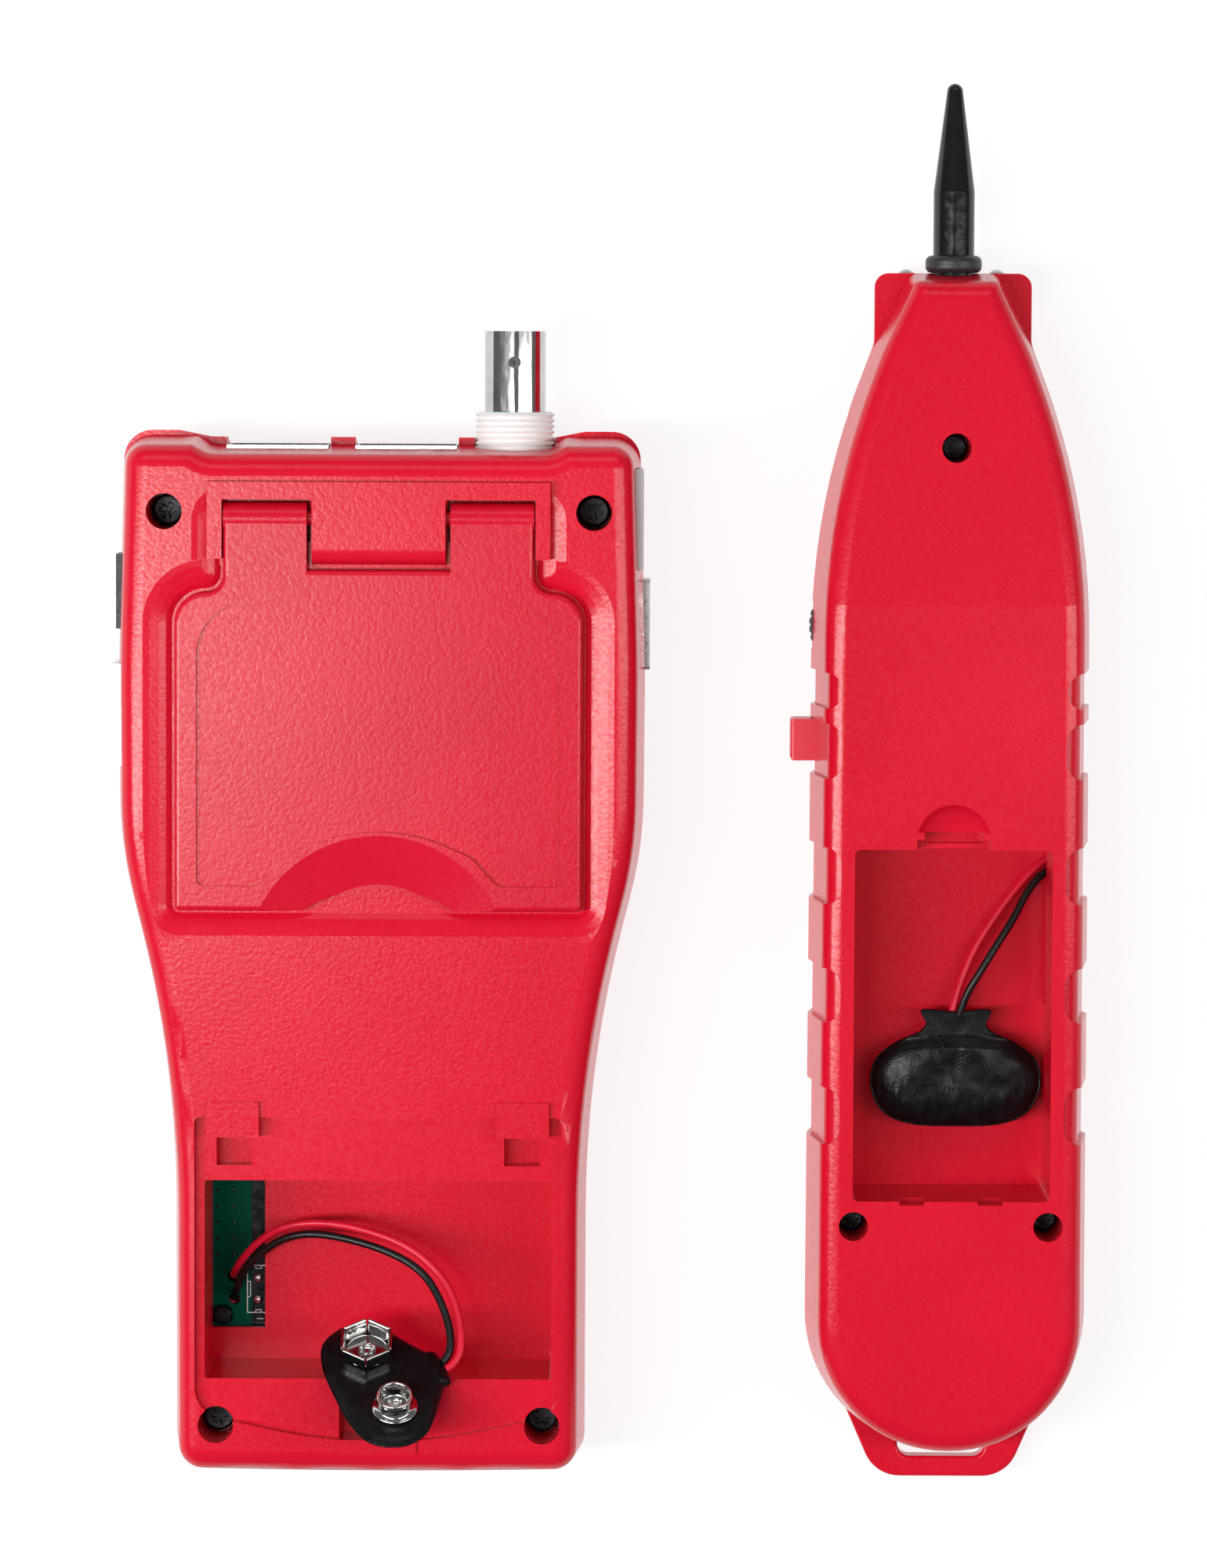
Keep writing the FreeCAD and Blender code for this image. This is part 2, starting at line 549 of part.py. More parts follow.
def power_switch():
    """Slide switch on the left-hand wall: metal-framed body and the knob that slides in it."""
    body = box((-41.9, -32.0), (SWITCH_Y - 5.9, SWITCH_Y + 5.9), (11.4, 18.6))
    track = box((-43, -36.0), (SWITCH_Y - 4.6, SWITCH_Y + 4.6), (13.2, 16.8))
    foot = box((-35.6, -33.8), (SWITCH_Y - 4.0, SWITCH_Y + 4.0), (7.22, 11.5))
    body = fuse(cut(body, track), foot)
    low = SWITCH_Y + SWITCH_REST - 2.65
    knob = box((-41.7, -36.2), (low, low + 5.3), (13.3, 16.7))
    knob = soften(knob, 0.3, lambda b: b.XMax < -41.6)
    return body, knob


def bnc_socket():
    """BNC socket: bayonet barrel, insulator, centre contact and threaded plastic bushing."""
    face = BNC_FACE_Y
    mouth = face + BNC_LENGTH
    lug_y = mouth - 4.9

    def along(low, high, radius):
        return rod((BNC_X, low, BNC_Z), (BNC_X, high, BNC_Z), radius)

    def across(low, high, radius):
        return rod((BNC_X, lug_y, BNC_Z + low), (BNC_X, lug_y, BNC_Z + high), radius)

    barrel = fuse(along(face - 3.0, mouth, BARREL_OUTER_R), along(face - 3.0, face + 1.0, 5.4))
    barrel = cut(fuse(barrel, across(-LUG_REACH, LUG_REACH, LUG_R)),
                 along(face - 2.0, mouth + 1, BARREL_INNER_R))
    barrel = cut(barrel, across(4.0, 6.0, 0.45), along(face - 4.0, face, 1.3))
    insulator = cut(along(face - 1.95, mouth - 8.0, 4.15), along(face - 3, mouth, 1.1))
    sleeve = cut(along(face - 1.95, mouth - 2.6, 2.4), along(face - 3, mouth, 1.1))
    insulator = fuse(insulator, sleeve)
    contact = cut(along(face - 6.0, mouth - 4.0, 1.05), along(mouth - 9.0, mouth, 0.5))
    root = BUSHING_R - 0.55
    half = THREAD_PITCH / 2
    threads = []
    for turn in range(1, THREADS + 1):
        foot = Vector(BNC_X, face + THREAD_PITCH * turn, BNC_Z)
        crest = foot + Vector(0, half, 0)
        threads.append(Part.makeCone(root, BUSHING_R, half, foot, Vector(0, 1, 0)))
        threads.append(Part.makeCone(BUSHING_R, root, half, crest, Vector(0, 1, 0)))
    bushing = fuse(along(face - 9.0, face + 6.0, BUSHING_R - 0.5),
                   along(face - 9.0, face - 4.2, BUSHING_R + 1.2), along(face - 4.2, face + 0.9, BUSHING_R),
                   *threads)
    bushing = cut(bushing, along(face - 10, face + 7, BUSHING_BORE_R), along(face - 3.2, face + 1.1, 5.5))
    return barrel, insulator, contact, bushing


# ---------------------------------------------------------------- battery snap and its leads


def snap_pad():
    """Padded vinyl cover of a battery snap, lying flat: contacts up, studs along X, neck to +Y."""
    oval = [(-8.6, 7.4, 9.0), (8.6, 7.4, 9.0), (13.4, 2.4, 6.0), (13.4, -7.4, 7.0), (-13.4, -7.4, 7.0),
            (-13.4, 2.4, 6.0)]
    body = soften(plate(oval, (-PAD_THICK, 0)), 0.9, lambda b: b.ZLength < 0.1)
    neck = plate([(-5.2, 10.9, 0.4), (5.2, 10.9, 0.4), (4.2, 5.0, 0.2), (-4.2, 5.0, 0.2)], (-2.1, -0.5))
    return fuse(body, neck)


def hex_socket():
    """Six-sided female contact with its base disc."""
    wall = [Vector(4.55 * math.cos(math.radians(60 * i)), 4.55 * math.sin(math.radians(60 * i)), 0)
            for i in range(7)]
    prism = Part.Face(Part.makePolygon(wall)).extrude(Vector(0, 0, STUD_HIGH))
    bore = Part.Face(Part.makePolygon([p * 0.9 for p in wall])).extrude(Vector(0, 0, STUD_HIGH))
    bore.translate(Vector(0, 0, 0.4))
    slits = [box((-0.15, 0.15), (-5, 5), (1.0, 4)) for _ in range(3)]
    for turn, slit in enumerate(slits):
        slit.rotate(Vector(0, 0, 0), Vector(0, 0, 1), 60 * turn + 30)
    rivet = soften(pillar(0, 0, 1.5, (0, 1.0)), 0.4, lambda b: b.ZMin > 0.9)
    socket = fuse(cut(prism, bore, *slits), rivet)
    socket.translate(Vector(-STUD_PITCH / 2, 0, 0.01))
    return socket


def round_stud():
    """Round male contact: flanged cup with a rolled rim and a star-split rivet."""
    flange = pillar(0, 0, 3.5, (0, 0.5))
    cup = soften(pillar(0, 0, 2.85, (0, STUD_HIGH)), 0.5, lambda b: b.ZMin > STUD_HIGH - 0.1)
    cup = cut(fuse(flange, cup), pillar(0, 0, 2.2, (0.6, 4)))
    rivet = soften(pillar(0, 0, 1.4, (0.5, 1.5)), 0.4, lambda b: b.ZMin > 1.4)
    stud = fuse(cup, rivet)
    stud.translate(Vector(STUD_PITCH / 2, 0, 0.01))
    return stud


def snap_pose(centre, spin, tilt, flip=False):
    """Placement that spins a flat snap about +Z, tilts it about +X and moves it to its centre."""
    turn = FreeCAD.Rotation(Vector(1, 0, 0), tilt).multiply(FreeCAD.Rotation(Vector(0, 0, 1), spin))
    if flip:
        turn = turn.multiply(FreeCAD.Rotation(Vector(0, 1, 0), 180))
    return FreeCAD.Placement(Vector(*centre), turn)


def posed(shape, pose):
    """Copy of a shape carried by a placement."""
    return shape.transformed(pose.toMatrix())


TESTER_SNAP = snap_pose((0.65, -91.7, 33.3), -68.0, -52.0)
PROBE_SNAP = snap_pose((1.4, -46.1, 12.9), 0.0, 0.0, True)


def tube(name, route):
    """Tube along straight runs joined by tangent arcs, each as large as its two runs allow."""
    points = [Vector(*point) for point in route]
    edges = []
    here = points[0]
    radii = []
    for before, corner, after in zip(points, points[1:], points[2:]):
        way_in, way_out = (corner - before), (after - corner)
        half = way_in.getAngle(way_out) / 2
        reach = 0.45 * min(way_in.Length, way_out.Length)
        radius = reach / math.tan(half)
        way_in.normalize()
        way_out.normalize()
        start, end = corner - way_in * reach, corner + way_out * reach
        middle = corner + (way_out - way_in).normalize() * (radius / math.cos(half) - radius)
        edges.append(Part.LineSegment(here, start).toShape())
        edges.append(Part.Arc(start, middle, end).toShape())
        radii.append(round(radius, 1))
        here = end
    edges.append(Part.LineSegment(here, points[-1]).toShape())
    path = Part.Wire(edges)
    ring = Part.Wire(Part.makeCircle(LEAD_R, points[0], points[1] - points[0]))
    solid = path.makePipeShell([ring], True, False, 2)
    expected = math.pi * LEAD_R ** 2 * path.Length
    print(f"{name}: length {path.Length:.1f}, radii {radii}, volume {solid.Volume:.2f} for {expected:.2f}")
    return solid


# ---------------------------------------------------------------- tone probe

PROBE_OUTLINE = both_sides(PROBE_SIDE)
PROBE_FRONT_OUTLINE = both_sides(PROBE_FRONT_SIDE)


def back_form():
    """Outer form of the probe's back: drafted, sloped towards the tip, with rounded edges."""
    solid = loft(PROBE_OUTLINE, [(PROBE_SPLIT_Z, 0), (PROBE_BACK_Z, PROBE_DRAFT)])
    drop = PROBE_BACK_Z - SLOPE_END_Z
    start = Vector(-30, SLOPE_START_Y, PROBE_BACK_Z)
    far = start + Vector(0, SLOPE_LENGTH, 5)
    low = start + Vector(0, SLOPE_LENGTH, -drop * SLOPE_LENGTH / SLOPE_RUN)
    slope = Part.Face(Part.makePolygon([start, far, low, start]))
    solid = solid.cut(slope.extrude(Vector(60, 0, 0)))
    return soften(solid, PROBE_FILLET, lambda b: b.ZMin > SLOPE_END_Z - 1.5 and b.ZLength < 4.2)


def front_form():
    """Outer form of the probe's front shell."""
    solid = loft(PROBE_FRONT_OUTLINE, [(0, PROBE_DRAFT), (PROBE_SPLIT_Z, 0)])
    return soften(solid, 2.5, lambda b: b.ZMax < 0.1)


def groove_floor(low, high):
    """Plain form just under the probe's sides, between two (height, inset) levels, rounded alike."""
    handle = both_sides([(22.0, 45.3, 8.0), (22.4, -105.6, 22.0)])
    solid = loft(handle, [low, high])
    flat = high[0] if low[1] < high[1] else low[0]
    return soften(solid, PROBE_FILLET, lambda b: abs(b.ZMin - flat) < 0.1 and b.ZLength < 0.1)


def groove_bands():
    """Upright prisms over the grip grooves on both sides."""
    bands = []
    for low, high in GROOVES:
        for side in (-1, 1):
            inner, outer = side * (22.2 - GROOVE_REACH), side * 27.0
            corners = rectangle((min(inner, outer), max(inner, outer)), (low, high), 2.6)
            bands.append(plate(corners, (-1, 40)))
    return bands


def grooved(outer, skin):
    """Shell form with the grip grooves sunk into its sides."""
    return cut(outer, *[band.cut(skin) for band in groove_bands()])


def probe_wall_cuts():
    """Openings in the probe's walls for the tip, the button and the volume wheel."""
    tip = rod((0, 70, BUTTON_Z), (0, 90, BUTTON_Z), 3.3)
    button = box((-26, -17), (BUTTON_Y - BUTTON_HALF - 0.1, BUTTON_Y + BUTTON_HALF + 0.1),
                 (BUTTON_Z - BUTTON_HALF - 0.1, BUTTON_Z + BUTTON_HALF + 0.1))
    wheel = pillar(WHEEL_X, WHEEL_Y, WHEEL_R + 0.4, (WHEEL_Z[0] - 0.3, WHEEL_Z[1] + 0.3))
    return [tip, button, wheel]


def probe_back_case():
    """Back shell of the probe with its battery bay, latch notch and screw wells."""
    floor = groove_floor((PROBE_SPLIT_Z - 1, GROOVE_DEPTH),
                         (PROBE_BACK_Z - GROOVE_DEPTH, PROBE_DRAFT + GROOVE_DEPTH))
    outer = grooved(back_form(), floor)
    inner = loft(PROBE_OUTLINE, [(PROBE_SPLIT_Z - 1, PROBE_WALL),
                                 (SLOPE_END_Z - SKIN, PROBE_DRAFT + PROBE_WALL)])
    shell = cut(outer, inner)
    tub = plate(rectangle((-PROBE_BAY_HALF - BAY_WALL, PROBE_BAY_HALF + BAY_WALL),
                          (PROBE_BAY_FOOT_Y - BAY_WALL, PROBE_BAY_TOP_Y + BAY_WALL), 1.5),
                (PROBE_BAY_FLOOR_Z - BAY_WALL, PROBE_BACK_Z - 1))
    latch = box((-8.0, 8.0), (-8.0, 1.5), (22.5, PROBE_BACK_Z - 1))
    bosses = [pillar(x, y, PROBE_BOSS_R, (PROBE_SPLIT_Z + LIP_GAP, 25.0)) for x, y in PROBE_SCREWS]
    shell = fuse(shell, tub, latch, *bosses)
    bay = plate(rectangle((-PROBE_BAY_HALF, PROBE_BAY_HALF), (PROBE_BAY_FOOT_Y, PROBE_BAY_TOP_Y), 0.9),
                (PROBE_BAY_FLOOR_Z, 40))
    notch = box((-5.8, 5.8), (PROBE_BAY_TOP_Y - 1, -6.7), (25.5, 40))
    slot = box((-4.6, 4.6), (-7.5, -5.6), (24.0, 40))
    scoop = Part.makeSphere(7.3, Vector(0, -7.0, PROBE_BACK_Z + 4.4))
    scoop = scoop.common(box((-9, 9), (-5.6, 5), (20, 40)))
    hooks = [box((side * 6.15 - 1.95, side * 6.15 + 1.95), (-64.4, -63.0), (24.5, 40)) for side in (-1, 1)]
    slit = box((15.0, 17.5), (-34.0, -9.0), (PROBE_BAY_FLOOR_Z, 15.3))
    return cut(shell, bay, notch, slot, scoop, slit, *hooks, *probe_wall_cuts(),
               *screw_wells(PROBE_SCREWS, PROBE_WELL_R, PROBE_SEAT_Z, 40, SCREW_SHANK_R))


def lanyard_plate():
    """Flat loop for a wrist lanyard at the foot of the probe."""
    corners = both_sides([(17.4, -96.0, 0.5), (10.6, -111.7, 6.0)])
    loop = plate(corners, (3.0, 7.0))
    slot = plate(rectangle((-7.0, 7.0), (-108.4, -100.0), 2.0), (0, 10))
    return soften(cut(loop, slot), 0.6, lambda b: b.YMax < -106 and b.ZLength < 0.01)


def probe_front_case():
    """Front shell of the probe with its ears, lanyard loop, speaker grille and screw posts."""
    floor = groove_floor((GROOVE_DEPTH, PROBE_DRAFT + GROOVE_DEPTH), (PROBE_SPLIT_Z + 1, GROOVE_DEPTH))
    outer = grooved(front_form(), floor)
    inner = loft(PROBE_FRONT_OUTLINE, [(SKIN, PROBE_WALL + 1.7), (PROBE_SPLIT_Z + 1, PROBE_WALL)])
    posts = [pillar(x, y, PROBE_BOSS_R, (SKIN - 0.5, PROBE_SPLIT_Z)) for x, y in PROBE_SCREWS]
    rests = [pillar(x, y, 2.4, (SKIN - 0.5, PROBE_BOARD_Z)) for x, y in PROBE_BOARD_SCREWS]
    ears = cut(plate(PROBE_FRONT_OUTLINE, (PROBE_SPLIT_Z - EAR_THICK, PROBE_SPLIT_Z)),
               plate(PROBE_OUTLINE, (0, 20), 1.5)).common(box((-20, 20), (60, 90), (0, 20)))
    shell = fuse(cut(fuse(outer, lanyard_plate()), inner), ears, *posts, *rests)
    tub_room = box((-17.1, 17.1), (PROBE_BAY_FOOT_Y - 1.6, PROBE_BAY_TOP_Y + 1.6), (7.9, 20))
    threads = [pillar(x, y, SCREW_SHANK_R + 0.05, (5.0, 20)) for x, y in PROBE_SCREWS]
    pilots = [pillar(x, y, 0.85, (SKIN + 0.6, PROBE_BOARD_Z + 1)) for x, y in PROBE_BOARD_SCREWS]
    grille = [box((-5, 5), (y - 0.6, y + 0.6), (-1, SKIN + 1)) for y in (24.0, 27.0, 30.0, 33.0, 36.0)]
    lamps = [rod((x, 76, LAMP_Z), (x, 84, LAMP_Z), LAMP_R + 0.05) for x in LAMP_X]
    lights = [pillar(x, SIGNAL_Y, 1.55, (-1, SKIN + 1)) for x in SIGNAL_X]
    return cut(shell, tub_room, *threads, *pilots, *grille, *lamps, *lights, *probe_wall_cuts())


def probe_board():
    """Circuit board of the probe."""
    outline = both_sides([(9.0, 50.2, 1.0), (18.4, 24.0, 40.0), (18.9, -62.8, 1.0)])
    board = plate(outline, (PROBE_BOARD_Z, PROBE_BOARD_Z + BOARD_THICK))
    holes = [pillar(x, y, 1.05, (0, 9)) for x, y in PROBE_BOARD_SCREWS]
    wires = [pillar(x, y, 0.95, (0, 9)) for x, y in PROBE_WIRE_HOLES]
    return cut(board, *holes, *wires)


def probe_tip():
    """Hard conical tip with a rounded end and a flange inside the head."""
    def y_rod(low, high, radius):
        return rod((0, low, BUTTON_Z), (0, high, BUTTON_Z), radius)
    ball = Part.makeSphere(1.25, Vector(0, TIP_END_Y - 1.25, BUTTON_Z))
    cone = Part.makeCone(3.25, 1.25, TIP_END_Y - 1.25 - 94.6, Vector(0, 94.6, BUTTON_Z), Vector(0, 1, 0))
    return fuse(cone, ball, y_rod(74.5, 94.6, 3.25), y_rod(75.4, 77.4, 4.6))


def probe_tip_ring():
    """Collar round the tip, seated on the head."""
    ring = rod((0, 81.85, BUTTON_Z), (0, 84.6, BUTTON_Z), 4.45)
    ring = soften(ring, 1.0, lambda b: b.YLength < 0.1)
    return cut(ring, rod((0, 80, BUTTON_Z), (0, 90, BUTTON_Z), 3.26))


def probe_button():
    """Square push button with a stop flange inside the wall."""
    span_y = (BUTTON_Y - BUTTON_HALF, BUTTON_Y + BUTTON_HALF)
    span_z = (BUTTON_Z - BUTTON_HALF, BUTTON_Z + BUTTON_HALF)
    cap = box((BUTTON_FACE_X, -18.2), span_y, span_z)
    cap = soften(cap, 0.5, lambda b: b.XMax < BUTTON_FACE_X + 0.1)
    flange = box((-19.0, -18.2), (span_y[0] - 0.8, span_y[1] + 0.8), (span_z[0] - 0.8, span_z[1] + 0.8))
    return fuse(cap, flange)


def probe_button_switch():
    """Tactile switch behind the button, standing on the board."""
    body = box((-14.2, -10.2), (BUTTON_Y - 3, BUTTON_Y + 3), (10.0, 16.0))
    nub = rod((-15.9, BUTTON_Y, BUTTON_Z), (-14.1, BUTTON_Y, BUTTON_Z), 1.5)
    leg = box((-13.2, -10.8), (BUTTON_Y - 2.5, BUTTON_Y + 2.5), (6.62, 10.1))
    return fuse(body, nub, leg)


def volume_wheel():
    """Knurled thumbwheel on the potentiometer's shaft."""
    wheel = pillar(WHEEL_X, WHEEL_Y, WHEEL_R, WHEEL_Z)
    wheel = soften(wheel, 0.3, lambda b: b.ZLength < 0.01)
    knurl = [pillar(WHEEL_X + (WHEEL_R + 0.25) * math.cos(math.radians(10 * i)),
                    WHEEL_Y + (WHEEL_R + 0.25) * math.sin(math.radians(10 * i)), 0.45, (10, 17))
             for i in range(36)]
    return cut(wheel, pillar(WHEEL_X, WHEEL_Y, 1.55, (10, 17)), *knurl)


def wheel_potentiometer():
    """Potentiometer whose shaft carries the thumbwheel."""
    body = pillar(WHEEL_X, WHEEL_Y, 4.6, (6.62, 11.6))
    body = body.common(box((WHEEL_X - 4.0, WHEEL_X + 5), (WHEEL_Y - 5, WHEEL_Y + 5), (6, 12)))
    return fuse(body, pillar(WHEEL_X, WHEEL_Y, 1.5, (11.5, 15.0)))


def probe_speaker():
    """Round speaker behind the grille."""
    rim = pillar(0, 30.0, 9.0, (SKIN + 0.05, 3.6))
    magnet = pillar(0, 30.0, 6.0, (3.5, PROBE_BOARD_Z - 0.05))
    return fuse(rim, magnet)


def probe_lamps():
    """Work lamps in the two ears of the head."""
    lamps = []
    for x in LAMP_X:
        dome = Part.makeSphere(LAMP_R, Vector(x, 81.0, LAMP_Z))
        lamps.append(fuse(rod((x, 77.0, LAMP_Z), (x, 81.0, LAMP_Z), LAMP_R), dome,
                          rod((x, 76.4, LAMP_Z), (x, 77.4, LAMP_Z), LAMP_R + 0.3)))
    return group(lamps)


def signal_lamps():
    """Two indicator lamps on the probe's face."""
    return group(fuse(pillar(x, SIGNAL_Y, 1.5, (0.6, PROBE_BOARD_Z - 0.05)),
                      pillar(x, SIGNAL_Y, 1.9, (SKIN + 0.05, 2.8))) for x in SIGNAL_X)


def probe_screws():
    """The three screws that close the probe."""
    return group(case_screw(x, y, PROBE_SEAT_Z, 6.0, 2.05, SCREW_SHANK_R) for x, y in PROBE_SCREWS)


def probe_board_screws():
    """Small screws that hold the probe's board."""
    top = PROBE_BOARD_Z + BOARD_THICK
    return group(case_screw(x, y, top, 3.2, 1.5, 0.8) for x, y in PROBE_BOARD_SCREWS)


# ---------------------------------------------------------------- files

def save_tester_case():
    """Case, kickstand, face and boards of the tester."""
    pieces = {"back_case": tester_back_case(), "front_case": tester_front_case(),
              "front_label": tester_front_label(), "key_switches": key_switches(),
              "circuit_board": tester_board(), "case_screws": tester_screws(),
              "board_screws": board_screws(), "kickstand": kickstand()}
    pieces["display_lens"], pieces["display_module"] = display_parts()
    for number, (x, y) in enumerate(KEYS, start=1):
        pieces[f"key_{number}"] = key_cap(x, y)
    for name, shape in pieces.items():
        save(f"transmitter_{name}", shape, TESTER_X)


def save_tester_connectors():
    """Jacks, ports, power switch and BNC socket of the tester."""
    jack = lan_jack()
    for label, (x, y, turn) in LAN_PLACES.items():
        for piece, shape in zip(("shield", "insert", "contacts"), jack):
            save(f"lan_jack_{label}_{piece}", set_jack(shape, x, y, turn), TESTER_X)
    save("side_port_plug", side_port_plug(), TESTER_X)
    for piece, shape in zip(("shell", "tongue"), usb_port()):
        save(f"usb_port_{piece}", shape, TESTER_X)
    for piece, shape in zip(("body", "knob"), power_switch()):
        save(f"power_switch_{piece}", shape, TESTER_X)
    for piece, shape in zip(("barrel", "insulator", "centre_contact", "bushing"), bnc_socket()):
        save(f"bnc_{piece}", shape, TESTER_X)


def save_probe():
    """Everything of the probe but its battery snap."""
    pieces = {"back_case": probe_back_case(), "front_case": probe_front_case(),
              "circuit_board": probe_board(), "tip": probe_tip(), "tip_ring": probe_tip_ring(),
              "button": probe_button(), "button_switch": probe_button_switch(),
              "volume_wheel": volume_wheel(), "wheel_potentiometer": wheel_potentiometer(),
              "speaker": probe_speaker(), "lamp_leds": probe_lamps(), "signal_leds": signal_lamps(),
              "case_screws": probe_screws(), "board_screws": probe_board_screws()}
    for name, shape in pieces.items():
        save(f"probe_{name}", shape, PROBE_X)


def save_snap(device, x, pose, red, black):
    """Battery snap of one device with its two leads."""
    save(f"{device}_snap_pad", posed(snap_pad(), pose), x)
    save(f"{device}_snap_socket", posed(hex_socket(), pose), x)
    save(f"{device}_snap_stud", posed(round_stud(), pose), x)
    save(f"{device}_snap_red_lead", tube(f"{device} red lead", red), x)
    save(f"{device}_snap_black_lead", tube(f"{device} black lead", black), x)


save_tester_case()
save_tester_connectors()
save_probe()
save_snap("transmitter", TESTER_X, TESTER_SNAP, TESTER_RED, TESTER_BLACK)
save_snap("probe", PROBE_X, PROBE_SNAP, PROBE_RED, PROBE_BLACK)
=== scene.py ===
"""Cable tester and tone probe lying face down side by side, battery bays open, on a pale floor."""
import json
import math

import bmesh
import bpy
from mathutils import Matrix, Vector, noise


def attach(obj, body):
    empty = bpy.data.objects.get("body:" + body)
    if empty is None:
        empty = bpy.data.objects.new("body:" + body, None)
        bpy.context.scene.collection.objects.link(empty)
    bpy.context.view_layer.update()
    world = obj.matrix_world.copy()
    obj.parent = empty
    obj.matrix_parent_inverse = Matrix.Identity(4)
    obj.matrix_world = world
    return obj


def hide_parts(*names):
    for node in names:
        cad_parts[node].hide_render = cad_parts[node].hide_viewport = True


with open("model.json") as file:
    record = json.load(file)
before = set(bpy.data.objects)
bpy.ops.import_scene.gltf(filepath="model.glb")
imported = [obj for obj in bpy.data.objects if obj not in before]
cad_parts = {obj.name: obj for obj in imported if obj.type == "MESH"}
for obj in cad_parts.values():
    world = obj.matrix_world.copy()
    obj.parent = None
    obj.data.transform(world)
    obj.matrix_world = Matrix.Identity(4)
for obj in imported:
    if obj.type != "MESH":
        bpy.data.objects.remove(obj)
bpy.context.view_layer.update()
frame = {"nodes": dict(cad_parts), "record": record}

MM = 0.001
TESTER_X = -35.0
PROBE_X = 55.1


# ---------------------------------------------------------------- camera

CAMERA_LENS = 137.37
CAMERA_PLACE = (-0.00016, 0.07217, 0.962)
CAMERA_TURN = (-4.311, 0, 0.262)


def add_camera():
    """Long lens straight above the pair, leaning a little towards the foot of the frame."""
    data = bpy.data.cameras.new("camera")
    data.sensor_width = 36
    data.lens = CAMERA_LENS
    data.clip_start = 0.01
    data.clip_end = 10
    camera = bpy.data.objects.new("camera", data)
    camera.location = CAMERA_PLACE
    camera.rotation_euler = [math.radians(angle) for angle in CAMERA_TURN]
    bpy.context.scene.collection.objects.link(camera)
    bpy.context.scene.camera = camera


# ---------------------------------------------------------------- materials

# Boxes that hold the smooth faces, in millimetres, with x counted from the middle of the device.
TESTER_BAY = ((-29.6, -97.5, 4), (29.6, -46.4, 30.2))
PROBE_BAY = ((-16.2, -65, 4), (16.2, -2, 28.7))
STAND_PANEL = ((-27.2, -17.5, 20), (27.2, 25.5, 30.2))


